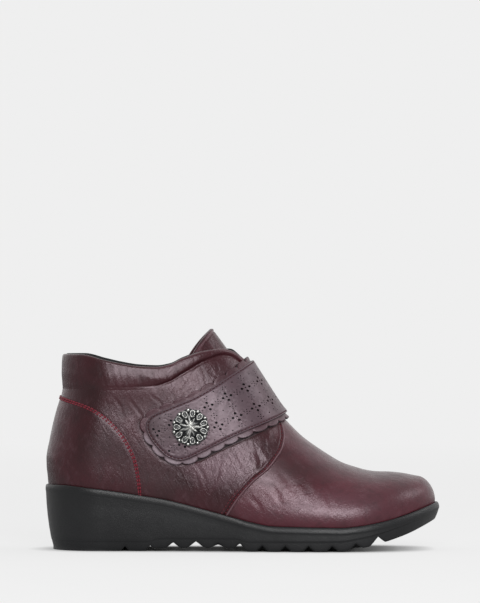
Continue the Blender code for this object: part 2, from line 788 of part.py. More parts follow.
make_sole(parts, helpers, make_material("sole_rubber", (0.035, 0.036, 0.038), 0.55))
make_insole(parts, make_material("insole_textile", (0.02, 0.018, 0.018), 0.9))
make_upper(parts, make_material("leather", (0.10, 0.032, 0.042), 0.42))
over_instep = Wrap(-1.3 * TONGUE_TOP, 1.3 * TONGUE_BASE, -1.2 * STRAP_OUTER_REACH, 1.2 * STRAP_INNER_REACH, 0.001)
make_tongue(over_instep, parts, make_material("tongue_leather", (0.09, 0.03, 0.04), 0.5))
strap_leather = make_material("strap_leather", (0.13, 0.06, 0.08), 0.38)
make_strap(over_instep, parts, strap_leather, make_material("edging_leather", (0.08, 0.03, 0.04), 0.45))
make_button(over_instep, parts, make_material("antique_metal", (0.45, 0.44, 0.42), 0.35, 1.0))
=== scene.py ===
import math

import bmesh
import bpy
import numpy as np
from mathutils import Matrix
from mathutils.geometry import delaunay_2d_cdt


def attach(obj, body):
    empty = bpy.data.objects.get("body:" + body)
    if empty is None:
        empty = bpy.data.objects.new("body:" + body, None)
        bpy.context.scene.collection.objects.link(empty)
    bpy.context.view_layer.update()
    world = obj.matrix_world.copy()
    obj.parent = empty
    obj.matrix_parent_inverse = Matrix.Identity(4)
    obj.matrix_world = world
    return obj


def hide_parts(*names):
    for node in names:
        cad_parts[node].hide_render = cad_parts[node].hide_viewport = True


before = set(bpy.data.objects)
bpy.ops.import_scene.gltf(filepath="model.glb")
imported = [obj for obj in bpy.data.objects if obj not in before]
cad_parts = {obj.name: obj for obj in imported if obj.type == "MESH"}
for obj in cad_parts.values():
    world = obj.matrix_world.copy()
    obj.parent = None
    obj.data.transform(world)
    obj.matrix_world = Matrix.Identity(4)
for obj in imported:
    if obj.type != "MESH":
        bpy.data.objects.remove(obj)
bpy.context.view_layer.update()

# Driving sizes of the boot, in metres: the same values as the solids
LAST_LENGTH = 0.250
BALL_WIDTH = 0.085
INSTEP_HEIGHT = 0.100
SHAFT_HEIGHT = 0.0855
WEDGE_HEIGHT = 0.043
FOREFOOT_THICKNESS = 0.016
TOE_SPRING = 0.0215
ARCH_LIFT = 0.002
SOLE_MARGIN = 0.0052
SOLE_DRAFT = 0.12
LEDGE_DEPTH = 0.0015
NOTCH_COUNT = 12
NOTCH_MIDDLE = 0.523
NOTCH_PITCH = 0.0150
NOTCH_DEPTH = 0.0055
NOTCH_WIDTH = 0.0080
VAMP_WALL = 0.0024
QUARTER_WALL = 0.0034
COLLAR_WALL = 0.0041
TONGUE_WALL = 0.0030
TONGUE_WIDTH = 0.074
TONGUE_TOP = 0.0535
TONGUE_BASE = 0.029
TONGUE_SLACK = 0.0032
STRAP_WIDTH = 0.036
STRAP_LAYER = 0.0016
EDGING_LAYER = 0.0012
SCALLOP_REACH = 0.0038
SCALLOP_PITCH = 0.0095
STRAP_OUTER_REACH = 0.0945
STRAP_INNER_REACH = 0.066
STRAP_SLOPE = math.radians(25.6)
STRAP_STATION = 0.350
STRAP_UP = 0.320
BUTTON_RADIUS = 0.0122
BUTTON_HEIGHT = 0.0034
BUTTON_REACH = 0.069
BUTTON_PETALS = 11
CLEARANCE = 0.0004
FACING_TOP = 0.494
STRAP_ROUND_FROM = -0.857
STRAP_ROUNDNESS = 2.6

PLAN = (
    (0.00, 0.360, 0.360, 0.000), (0.10, 0.360, 0.357, 0.000), (0.20, 0.365, 0.355, 0.000),
    (0.30, 0.375, 0.345, 0.000), (0.40, 0.395, 0.340, 0.005), (0.50, 0.430, 0.365, 0.010),
    (0.58, 0.465, 0.412, 0.020), (0.66, 0.493, 0.465, 0.030), (0.70, 0.500, 0.485, 0.035),
    (0.74, 0.497, 0.498, 0.040), (0.82, 0.475, 0.490, 0.055), (0.90, 0.435, 0.462, 0.070),
    (1.00, 0.380, 0.420, 0.080),
)
RIDGE = (
    (0.000, 2.717), (0.260, 1.791), (0.420, 1.271), (0.503, 1.008), (0.546, 0.864), (0.592, 0.711),
    (0.619, 0.641), (0.654, 0.560), (0.696, 0.484), (0.748, 0.403), (0.789, 0.356), (0.840, 0.303),
    (0.891, 0.262), (0.936, 0.217), (0.972, 0.176), (1.000, 0.139),
)
FULLNESS = (
    (0.00, 2.3), (0.25, 2.2), (0.45, 2.1), (0.58, 1.95), (0.70, 2.0), (0.82, 2.3), (0.92, 2.6), (1.00, 2.6),
)
HEEL_BACK = (
    (0.000, 0.0008), (0.072, -0.0010), (0.135, -0.0034), (0.196, -0.0038), (0.258, -0.0012),
    (0.320, 0.0036), (0.382, 0.0076), (0.443, 0.0122), (0.505, 0.0172), (0.567, 0.0230),
    (0.629, 0.0298), (0.691, 0.0356), (0.753, 0.0392), (0.814, 0.0404), (0.936, 0.0406), (1.000, 0.0420),
)
SOLE_LINES = (
    (-0.020, 0.975, 1.000, 0.000, 0.0), (0.032, 1.000, 1.000, 0.000, 0.0), (0.108, 0.930, 1.000, 0.000, 0.0),
    (0.180, 0.840, 1.000, 0.000, 0.0), (0.252, 0.737, 1.000, 0.000, 0.0), (0.284, 0.690, 1.000, 0.000, 1.0),
    (0.334, 0.589, 1.000, 0.000, 1.0), (0.384, 0.470, 1.000, 0.000, 1.0), (0.480, 0.230, 1.000, 0.000, 1.0),
    (0.520, 0.130, 1.000, 0.000, 0.0), (0.584, 0.026, 1.000, 0.000, 0.0), (0.652, 0.010, 1.000, 0.000, 0.0),
    (0.712, 0.000, 1.000, 0.000, 0.0), (0.750, 0.000, 0.975, 0.008, 0.0), (0.800, 0.000, 0.925, 0.093, 0.0),
    (0.856, 0.000, 0.863, 0.256, 0.0), (0.912, 0.000, 0.800, 0.479, 0.0), (0.972, 0.000, 0.744, 0.767, 0.0),
    (1.020, 0.000, 0.650, 1.040, 0.0),
)
COLLAR = (
    (0.000, 1.000, 0.258), (0.084, 0.998, 0.252), (0.136, 0.960, 0.216), (0.180, 0.930, 0.184),
    (0.228, 0.909, 0.158), (0.272, 0.904, 0.145), (0.308, 0.922, 0.130), (0.340, 0.968, 0.120),
    (0.400, 1.028, 0.076), (0.440, 1.042, 0.050), (0.464, 1.025, 0.042), (0.494, 0.958, 0.036),
)
QUARTER_EDGE = (
    (0.000, 0.463, 0.000), (0.199, 0.500, 0.157), (0.346, 0.532, 0.293), (0.478, 0.565, 0.442),
    (0.589, 0.588, 0.595), (0.685, 0.603, 0.737), (0.757, 0.606, 0.835), (0.829, 0.601, 0.898),
    (0.914, 0.590, 0.947), (1.000, 0.580, 0.996),
)
STRAP_EDGES = (
    (-0.86, -0.505, 0.490), (-0.74, -0.486, 0.492), (-0.59, -0.460, 0.490), (-0.45, -0.478, 0.508),
    (-0.30, -0.520, 0.540), (-0.13, -0.570, 0.556), (0.00, -0.590, 0.562), (0.35, -0.550, 0.545),
    (0.70, -0.500, 0.510),
)
TONGUE_SIDES = ((0.00, 0.55), (0.12, 0.72), (0.35, 0.86), (0.70, 0.97), (1.00, 1.00))

# Cross grooves from the rear: height, width, height left under the middle of the foot
# (shares), shift in millimetres
NOTCHES = (
    (0.58, 0.80, 0.80, 0.0), (0.68, 0.90, 0.85, 1.3), (0.72, 1.30, 1.00, 1.5), (0.85, 1.60, 1.00, 1.5),
    (0.66, 1.50, 0.60, 1.0), (0.75, 1.10, 1.00, 0.5), (0.78, 1.15, 0.12, 0.0), (0.70, 1.15, 0.12, 0.0),
    (0.70, 1.15, 0.12, 0.0), (0.70, 1.20, 0.12, 0.0), (0.70, 1.25, 0.15, 0.0), (0.93, 1.20, 1.00, -1.3),
)

# Seam of the heel counter in the side view, millimetres
COUNTER_SEAM = (
    (-122.0, 99.6), (-116.1, 98.3), (-109.5, 96.4), (-98.1, 92.3), (-89.5, 86.4), (-81.0, 77.8),
    (-74.1, 67.6), (-69.9, 57.3), (-68.6, 50.6), (-67.5, 44.0), (-66.9, 37.5), (-66.7, 30.0),
)

# Creases of the quarter in the side view: from, to (millimetres), half width, depth
QUARTER_CREASES = (
    ((-43.4, 117.1), (-35.6, 98.8), 0.8, 0.14), ((-28.4, 120.3), (-23.9, 104.0), 0.7, 0.18),
    ((-18.7, 123.5), (-16.0, 113.1), 0.7, 0.14), ((-38.0, 113.0), (-28.0, 103.0), 0.6, 0.12),
    ((-24.0, 118.0), (-14.0, 108.0), 0.6, 0.12), ((-8.0, 124.0), (-5.0, 114.0), 0.7, 0.14),
    ((-34.0, 62.0), (-22.0, 38.0), 1.0, 0.16), ((-14.0, 64.0), (-20.0, 40.0), 0.9, 0.16),
    ((2.3, 74.7), (4.0, 57.0), 1.0, 0.22), ((12.7, 77.8), (12.7, 60.0), 1.2, 0.30),
    ((-4.0, 74.0), (4.0, 60.0), 0.8, 0.18), ((-9.0, 66.0), (1.0, 48.0), 0.8, 0.14),
    ((8.5, 66.0), (12.0, 50.0), 1.6, 0.55), ((7.0, 57.0), (9.5, 44.0), 1.1, 0.25),
    ((-84.5, 101.4), (-77.3, 85.8), 0.9, 0.18), ((-74.7, 100.1), (-61.7, 75.3), 0.8, 0.20),
    ((-60.4, 102.1), (-49.9, 91.0), 0.8, 0.14), ((-66.0, 88.0), (-60.0, 60.0), 1.2, 0.10),
)

# Creases of the vamp in the side view: from, to (millimetres), half width, depth
VAMP_CREASES = (
    ((16.6, 45.0), (26.0, 29.0), 1.5, 0.20), ((24.0, 52.0), (36.0, 31.0), 1.9, 0.18),
    ((38.0, 46.0), (47.0, 27.0), 1.8, 0.15), ((52.0, 40.0), (58.0, 26.0), 1.6, 0.14),
    ((28.0, 66.0), (42.0, 50.0), 2.2, 0.15), ((5.0, 36.0), (14.0, 24.0), 1.4, 0.18),
)

# Broad swellings of the quarter and of the vamp: centre, reach along and up, height (millimetres)
QUARTER_SWELLS = (
    ((-8, 44), (28, 15), 1.0), ((-90, 74), (20, 20), 0.9), ((-60, 62), (14, 14), 0.4),
    ((-80, 107), (28, 11), 1.0), ((6, 62), (9, 12), 0.5), ((13, 50), (5, 10), -0.5),
)
VAMP_SWELLS = (
    ((45, 22), (40, 12), 0.8), ((96, 28), (14, 16), 0.3), ((101, 52), (12, 8), 0.7),
    ((117, 50), (8, 9), -1.0), ((24, 62), (16, 14), -1.2),
)

# Zones of painted highlight (above 0) and of painted shade, darker and even (below 0): centre, reach, strength
QUARTER_PAINTED_LIGHT = (
    ((-16, 56), (24, 13), 1.7), ((2, 66), (12, 10), 0.2), ((-26, 104), (20, 9), 0.35), ((-8, 114), (14, 8), 0.4),
    ((-94, 66), (22, 22), -0.7), ((-56, 48), (22, 18), -0.8), ((-112, 116), (26, 14), -0.2), ((-30, 36), (22, 8), -0.3),
    ((10, 50), (5, 8), -0.8), ((-66, 98), (28, 12), -0.7), ((-72, 121), (30, 8), -0.8),
)
STRAP_PAINTED_LIGHT = (
    ((-2, 92), (16, 18), 0.5), ((-60, 84), (16, 18), -1.0), ((-38, 78), (16, 7), -0.7), ((22, 108), (10, 20), -0.6),
)
VAMP_PAINTED_LIGHT = (
    ((50, 31), (42, 9), 0.9), ((62, 25), (34, 6), 0.4), ((55, 66), (40, 12), 0.5),
    ((22, 56), (14, 14), -0.8), ((55, 50), (30, 8), -0.3),
)

# Shadowed gap along the strap's lower edge in the side view, millimetres
STRAP_GAP = (
    (-66.0, 84.0), (-62.0, 72.0), (-52.0, 61.0), (-39.5, 58.4), (-27.7, 60.6), (-17.0, 66.2),
    (-7.0, 71.0), (28.0, 86.5),
)

# Gathers of the collar band: place along the boot (millimetres), half width, depth
BAND_PUCKERS = (
    (-96.0, 0.8, 0.14), (-90.0, 0.7, 0.20), (-84.5, 0.8, 0.22), (-80.0, 0.6, 0.20), (-75.5, 0.9, 0.26),
    (-71.5, 0.6, 0.20), (-67.0, 0.8, 0.28), (-63.0, 0.6, 0.22), (-59.0, 0.8, 0.28), (-55.5, 0.6, 0.22),
    (-51.0, 0.7, 0.24), (-47.0, 0.6, 0.22), (-42.5, 0.7, 0.22), (-38.0, 0.6, 0.18), (-33.0, 0.7, 0.16),
)


def follow(table, column, at):
    """Smooth curve through one column of a table, with no overshoot."""
    ends = np.array([row[0] for row in table])
    values = np.array([row[column] for row in table])
    step = np.diff(ends)
    rise = np.diff(values) / step
    first, second = rise[:-1], rise[1:]
    same = first * second > 0
    near, far = 2 * step[1:] + step[:-1], step[1:] + 2 * step[:-1]
    mean = (near + far) / (near / np.where(same, first, 1) + far / np.where(same, second, 1))
    slope = np.concatenate([rise[:1], np.where(same, mean, 0), rise[-1:]])
    at = np.clip(np.asarray(at, float), ends[0], ends[-1])
    i = np.clip(np.searchsorted(ends, at, side="right") - 1, 0, len(step) - 1)
    t = (at - ends[i]) / step[i]
    start = (1 + 2 * t) * (1 - t) ** 2 * values[i] + t * (1 - t) ** 2 * step[i] * slope[i]
    end = t**2 * (3 - 2 * t) * values[i + 1] + t**2 * (t - 1) * step[i] * slope[i + 1]
    return start + end


def station(x):
    return x / LAST_LENGTH + 0.5


def position(share):
    return (share - 0.5) * LAST_LENGTH


def rounded(distance, radius):
    """Quarter-circle rise from 0 to 1 over one radius."""
    return np.sqrt(np.clip(1 - (1 - np.clip(distance / radius, 0, 1)) ** 2, 0, 1))


def soft_step(x):
    x = np.clip(x, 0, 1)
    return x * x * (3 - 2 * x)


def hump(distance, width):
    return np.exp(-((distance / width) ** 2))


def rim_height(x):
    s = station(x)
    wedge = (WEDGE_HEIGHT - FOREFOOT_THICKNESS) * follow(SOLE_LINES, 1, s)
    return FOREFOOT_THICKNESS * follow(SOLE_LINES, 2, s) + wedge + TOE_SPRING * follow(SOLE_LINES, 3, s)


def floor_height(x):
    s = station(x)
    return TOE_SPRING * follow(SOLE_LINES, 3, s) + ARCH_LIFT * follow(SOLE_LINES, 4, s)


def ridge_height(x):
    rise = INSTEP_HEIGHT * follow(RIDGE, 1, station(x))
    return rim_height(x) + rise * rounded(position(1) - x, 0.036 * LAST_LENGTH)


def heel_line(z):
    return position(follow(HEEL_BACK, 1, (z - WEDGE_HEIGHT) / SHAFT_HEIGHT))


def last_side(x, z, side):
    """Sideways position of the foot form's surface, side -1 outer and +1 inner."""
    s = station(x)
    base = rim_height(x)
    up = np.clip((z - base) / np.maximum(ridge_height(x) - base, 1e-6), 0, 1)
    shift = BALL_WIDTH * follow(PLAN, 3, s)
    half = BALL_WIDTH * follow(PLAN, 1 if side < 0 else 2, s) - side * shift
    half = half * rounded(position(1) - x, 0.21 * LAST_LENGTH)
    half = half * rounded(x - heel_line(z), 0.125 * LAST_LENGTH)
    tuck = 0.035 * (1 - np.clip((z - base) / (0.12 * INSTEP_HEIGHT), 0, 1)) ** 2
    half = half * (1 - tuck)
    return shift + side * half * np.sqrt(np.clip(1 - up ** follow(FULLNESS, 1, s), 0, 1))


def on_last(flat, side):
    """Points (x, z) of the side view lifted onto the foot form."""
    x, z = flat[..., 0], flat[..., 1]
    return np.stack([x, last_side(x, z, side), z], axis=-1)


def unit(vectors):
    return vectors / np.maximum(np.linalg.norm(vectors, axis=-1, keepdims=True), 1e-12)


def way_along(points):
    """Length from a line's start to each of its points."""
    return np.concatenate([[0], np.cumsum(np.linalg.norm(np.diff(points, axis=0), axis=1))])


def read_at(values, run, lengths):
    """Values of a line's points, read at lengths along the line."""
    return np.stack([np.interp(lengths, run, values[:, k]) for k in range(values.shape[1])], axis=-1)


def spaced(points, shares):
    """Points at the given shares of a line's length."""
    run = way_along(points)
    return read_at(points, run, shares * run[-1])


def eased(count):
    """Shares from 0 to 1 that lie closer together at both ends."""
    return (1 - np.cos(np.pi * np.linspace(0, 1, count))) / 2


def smooth_line(points, count):
    """Even points on a smooth curve through a few points given in millimetres."""
    points = np.array(points, float) / 1000
    run = way_along(points)
    table = np.column_stack([run, points])
    at = np.linspace(0, run[-1], count)
    return np.stack([follow(table, k + 1, at) for k in range(points.shape[1])], axis=-1)


def up_share(x, share):
    base = rim_height(x)
    return base + share * (ridge_height(x) - base)


def quarter_edge():
    way = np.linspace(0, 1, 121)
    x = position(follow(QUARTER_EDGE, 1, way))
    return np.stack([x, up_share(x, follow(QUARTER_EDGE, 2, way))], axis=-1)


def collar_height(x):
    return WEDGE_HEIGHT + SHAFT_HEIGHT * follow(COLLAR, 1, station(x))


def band_height(x):
    return collar_height(x) - SHAFT_HEIGHT * follow(COLLAR, 2, station(x))


def facing():
    """Edge of the slit from the throat up to the collar's front corner."""
    way = np.linspace(0, 1, 61)
    x = position(QUARTER_EDGE[-1][1] + (FACING_TOP - QUARTER_EDGE[-1][1]) * way)
    base = rim_height(x[-1])
    top = min((collar_height(x[-1]) - base) / (ridge_height(x[-1]) - base), 0.985)
    low = QUARTER_EDGE[-1][2]
    return np.stack([x, up_share(x, low + (top - low) * way)], axis=-1)


def heel_column(low, high, shares):
    z = low + (high - low) * shares
    return np.stack([heel_line(z), z], axis=-1)


def level_line(height, start, end):
    """A line of the side view that runs from start to end at the given height."""

    def at(share):
        x = start[0] + (end[0] - start[0]) * share
        z = height(x) + (end[1] - height(end[0])) * share**4 + (start[1] - height(start[0])) * (1 - share) ** 4
        return np.stack([x, z], axis=-1)

    return at


def blend(bottom, top, left, right, across, up):
    """Surface patch spanned by four edges; across is one row of shares for each share of up."""
    a, u = across[..., None], up[:, None, None]
    sides = (1 - a) * left[:, None] + a * right[:, None]
    corners = (1 - u) * ((1 - a) * left[0] + a * right[0]) + u * ((1 - a) * left[-1] + a * right[-1])
    return (1 - u) * bottom(across) + u * top(across) + sides - corners


class Wrap:
    """Maps a flat sheet onto the foot form: a runs across the ridge, b down the ridge, h outwards."""

    def __init__(self, low_b, high_b, low_a, high_a, step):
        self.low_b, self.low_a, self.step = low_b, low_a, step
        along = np.array([-math.cos(STRAP_SLOPE), -math.sin(STRAP_SLOPE)])
        down = np.array([math.sin(STRAP_SLOPE), -math.cos(STRAP_SLOPE)])
        centre = np.array([position(STRAP_STATION), up_share(position(STRAP_STATION), STRAP_UP)])
        a_values = np.arange(low_a, high_a + step, step)
        rows = []
        for b in np.arange(low_b, high_b + step, step):
            start = centre + b * down
            near, far = 0.0, 0.5 * LAST_LENGTH
            for _ in range(40):
                middle = (near + far) / 2
                x, z = start - middle * along
                if z < ridge_height(x):
                    near = middle
                else:
                    far = middle
            top = start - near * along
            length = 1.2 * max(-low_a, high_a)
            run = length * np.linspace(0, 1, 400) ** 2
            flat = top + run[:, None] * along
            flat[:, 0] = np.maximum(flat[:, 0], position(0.01))
            outer, inner = on_last(flat, -1), on_last(flat, 1)
            points = np.concatenate([outer[:0:-1], inner])
            arc = way_along(points)
            arc -= arc[len(outer) - 1]
            rows.append(read_at(points, arc, a_values))
        self.points = np.array(rows)
        self.normals = grid_normals(self.points)

    def __call__(self, a, b, h):
        a, b, h = np.broadcast_arrays(np.asarray(a, float), b, h)
        u = np.clip((b - self.low_b) / self.step, 0, len(self.points) - 1.001)
        v = np.clip((a - self.low_a) / self.step, 0, self.points.shape[1] - 1.001)
        i, j = u.astype(int), v.astype(int)
        u, v = (u - i)[..., None], (v - j)[..., None]

        def mixed(grid):
            low = grid[i, j] * (1 - v) + grid[i, j + 1] * v
            high = grid[i + 1, j] * (1 - v) + grid[i + 1, j + 1] * v
            return low * (1 - u) + high * u

        return mixed(self.points) + unit(mixed(self.normals)) * h[..., None]


# ---------------------------------------------------------------- meshes


def add_object(name, data):
    made = bpy.data.objects.new(name, data)
    bpy.context.scene.collection.objects.link(made)
    return made


def make_piece(name, points, faces, materials, replaced, slot):
    """Mesh object that rides on the boot and replaces a solid; its slot argument is not used."""
    mesh = bpy.data.meshes.new(name)
    mesh.from_pydata(np.asarray(points, float).tolist(), [], faces)
    mesh.update()
    mesh.polygons.foreach_set("use_smooth", [True] * len(mesh.polygons))
    for one in materials if isinstance(materials, list) else [materials]:
        mesh.materials.append(one)
    made = add_object(name, mesh)
    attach(made, "root")
    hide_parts(replaced)
    dressed.append(made)
    return made


def clean(made):
    """Weld doubled points and drop faces without area."""
    shape = bmesh.new()
    shape.from_mesh(made.data)
    bmesh.ops.remove_doubles(shape, verts=shape.verts, dist=2e-6)
    bmesh.ops.dissolve_degenerate(shape, edges=shape.edges, dist=1e-6)
    shape.to_mesh(made.data)
    shape.free()


def grid_faces(rows, columns, flip=False, first=0, closed=False):
    """Quads of a grid whose points run row by row."""
    i = np.arange(rows - 1)[:, None] * columns
    j = np.arange(columns if closed else columns - 1)[None]
    n = (j + 1) % columns
    quads = np.stack([i + j, i + n, i + columns + n, i + columns + j], axis=-1).reshape(-1, 4) + first
    return (quads[:, ::-1] if flip else quads).tolist()


def make_sheet(name, grid, material, slot, flip=False):
    """Open sheet of the upper made from a grid of points."""
    faces = grid_faces(*grid.shape[:2], flip=flip)
    return make_piece(name, grid.reshape(-1, 3), faces, material, "upper", slot)


def grid_normals(points):
    return unit(np.cross(np.gradient(points, axis=0), np.gradient(points, axis=1)))


def run_length(points, axis):
    """Length along the grid lines of one direction, from the grid's first line."""
    steps = np.linalg.norm(np.diff(points, axis=axis), axis=-1)
    zero = np.zeros_like(steps[:1] if axis == 0 else steps[:, :1])
    return np.concatenate([zero, np.cumsum(steps, axis=axis)], axis=axis)


def to_line(x, z, line):
    """Distance from points of the side view to a line, above it positive, and the way along it."""
    best, side, way = np.full(x.shape, 1e9), np.ones(x.shape), np.zeros(x.shape)
    done = 0.0
    for start, end in zip(line[:-1], line[1:]):
        d = end - start
        length = np.hypot(*d)
        t = np.clip(((x - start[0]) * d[0] + (z - start[1]) * d[1]) / length**2, 0, 1)
        ex, ez = x - start[0] - t * d[0], z - start[1] - t * d[1]
        distance = np.hypot(ex, ez)
        near = distance < best
        best = np.where(near, distance, best)
        side = np.where(near, np.sign(d[0] * ez - d[1] * ex), side)
        way = np.where(near, done + t * length, way)
        done += length
    return best * side, way


def creases(x, z, table):
    """Sum of soft troughs with low ridges beside them."""
    total = np.zeros(x.shape)
    for start, end, width, depth in table:
        start, end = np.array(start) / 1000, np.array(end) / 1000
        bend = np.array([start[1] - end[1], end[0] - start[0]]) * 0.08
        line = np.array([start, (start + end) / 2 + bend, end])
        distance, way = to_line(x, z, line)
        length = np.linalg.norm(end - start)
        fade = np.sin(np.pi * np.clip(way / length, 0.02, 0.98)) ** 0.7
        w = width / 1000
        total -= depth / 1000 * fade * (hump(distance, w) - 0.45 * hump(np.abs(distance) - 2.1 * w, 1.2 * w))
    return total


def swells(x, z, table):
    """Sum of soft round hills given in millimetres of the side view."""
    total = np.zeros(x.shape)
    for (across, up), (wide, tall), height in table:
        total += height * hump(np.hypot((x * 1000 - across) / wide, (z * 1000 - up) / tall), 1.0)
    return total


def paint(made, name, values):
    made.data.attributes.new(name, "FLOAT", "POINT").data.foreach_set("value", np.ravel(values).astype(np.float32))


def tube(path, normals, radius, sides, squash=1.0):
    """Points and faces of a round cord along an open path, with pinched ends."""
    along = unit(np.gradient(path, axis=0))
    across = unit(np.cross(along, normals))
    out = np.cross(across, along)
    turn = np.linspace(0, 2 * np.pi, sides, endpoint=False)
    radius = np.broadcast_to(radius, len(path))[:, None, None]
    ring = np.cos(turn)[None, :, None] * across[:, None] + squash * np.sin(turn)[None, :, None] * out[:, None]
    points = (path[:, None] + radius * ring).reshape(-1, 3)
    faces = grid_faces(len(path), sides, closed=True)
    faces.append(list(range(sides))[::-1])
    faces.append([len(points) - sides + k for k in range(sides)])
    return points, faces


def stitch_row(path, normals, length, gap, radius):
    """Points and faces of a row of sewn stitches along a path on a surface."""
    run = way_along(path)
    count = int(run[-1] / (length + gap))
    threads = []
    for k in range(count):
        start = (k + 0.5) * run[-1] / count - length / 2
        at = start + length * np.array([0.0, 0.12, 0.32, 0.68, 0.88, 1.0])
        spots, out = read_at(path, run, at), read_at(normals, run, at)
        rise = radius * np.array([-0.9, -0.1, 0.35, 0.35, -0.1, -0.9])
        thick = radius * np.array([0.35, 0.8, 1.0, 1.0, 0.8, 0.35])
        threads.append(tube(spots + out * rise[:, None], out, thick, 6))
    return merge(threads)


def merge(parts):
    """One set of points and faces from several."""
    points, faces, first = [], [], 0
    for p, f in parts:
        points.append(p)
        faces += [[first + v for v in face] for face in f]
        first += len(p)
    return np.concatenate(points), faces


# ---------------------------------------------------------------- materials


class Shader:
    """Small helper that adds and links shader nodes by name."""

    def __init__(self, name):
        self.material = bpy.data.materials.new(name)
        self.material.use_nodes = True
        self.tree = self.material.node_tree
        self.surface = self.tree.nodes["Principled BSDF"]
        self.place = self.add("ShaderNodeTexCoord").outputs["Object"]

    def add(self, kind, links=None, **settings):
        node = self.tree.nodes.new(kind)
        for name, value in settings.items():
            setattr(node, name, value)
        for socket, value in (links or {}).items():
            self.put(node.inputs[socket], value)
        return node

    def put(self, socket, value):
        if isinstance(value, bpy.types.NodeSocket):
            self.tree.links.new(value, socket)
        else:
            socket.default_value = value

    def stretch(self, scale, turn=(0, 0, 0)):
        """Object coordinates turned and then scaled, so the grain runs along the turned axes."""
        scale = tuple(1 / v for v in scale)
        node = self.add("ShaderNodeMapping", {"Vector": self.place, "Scale": scale}, vector_type="TEXTURE")
        node.inputs["Rotation"].default_value = turn
        return node.outputs["Vector"]

    def noise(self, scale, detail, rough, source=None, distortion=0.0):
        links = {"Vector": source or self.place, "Scale": scale, "Detail": detail, "Roughness": rough}
        node = self.add("ShaderNodeTexNoise", links)
        node.inputs["Distortion"].default_value = distortion
        return node.outputs["Fac"]

    def warp(self, amount, scale):
        """Object coordinates shaken by a noise, for lines that wander."""
        node = self.add("ShaderNodeTexNoise", {"Vector": self.place, "Scale": scale, "Detail": 2.0})
        links = {0: node.outputs["Color"], 1: (amount, amount, amount), 2: self.place}
        return self.add("ShaderNodeVectorMath", links, operation="MULTIPLY_ADD").outputs["Vector"]

    def attribute(self, name):
        return self.add("ShaderNodeAttribute", attribute_name=name).outputs["Fac"]

    def cells(self, scale, feature, source=None):
        node = self.add("ShaderNodeTexVoronoi", {"Vector": source or self.place, "Scale": scale}, feature=feature)
        return node.outputs["Distance"]

    def ramp(self, fac, stops):
        node = self.add("ShaderNodeValToRGB", {"Fac": fac})
        while len(node.color_ramp.elements) < len(stops):
            node.color_ramp.elements.new(0.5)
        for element, (at, shade) in zip(node.color_ramp.elements, stops):
            element.position = at
            element.color = (*shade, 1)
        return node.outputs["Color"]

    def span(self, value, low, high, to_low, to_high):
        links = {"Value": value, "From Min": low, "From Max": high, "To Min": to_low, "To Max": to_high}
        return self.add("ShaderNodeMapRange", links).outputs["Result"]

    def math(self, kind, a, b):
        node = self.add("ShaderNodeMath", operation=kind)
        self.put(node.inputs[0], a)
        self.put(node.inputs[1], b)
        return node.outputs[0]

    def mix(self, fac, a, b):
        node = self.add("ShaderNodeMix", data_type="RGBA")
        self.put(node.inputs["Factor"], fac)
        self.put(node.inputs[6], a)
        self.put(node.inputs[7], b)
        return node.outputs[2]

    def relief(self, height, distance, before=None):
        node = self.add("ShaderNodeBump", {"Height": height, "Distance": distance, "Strength": 1.0})
        if before:
            self.put(node.inputs["Normal"], before)
        return node.outputs["Normal"]

    def finish(self, **values):
        for name, value in values.items():
            self.put(self.surface.inputs[name.replace("_", " ")], value)
        return self.material


def colour(*rgb):
    return (*rgb, 1.0)


# Painted colours: shade in the darkened zones, shadow in the gap under the strap, shade in the pressed dashes and on
# cut walls
PAINTED_SHADE_COLOUR = (0.043, 0.023, 0.023)
GAP_SHADOW = (0.006, 0.004, 0.004)
PAINTED_CUT_SHADE = (0.012, 0.005, 0.006)


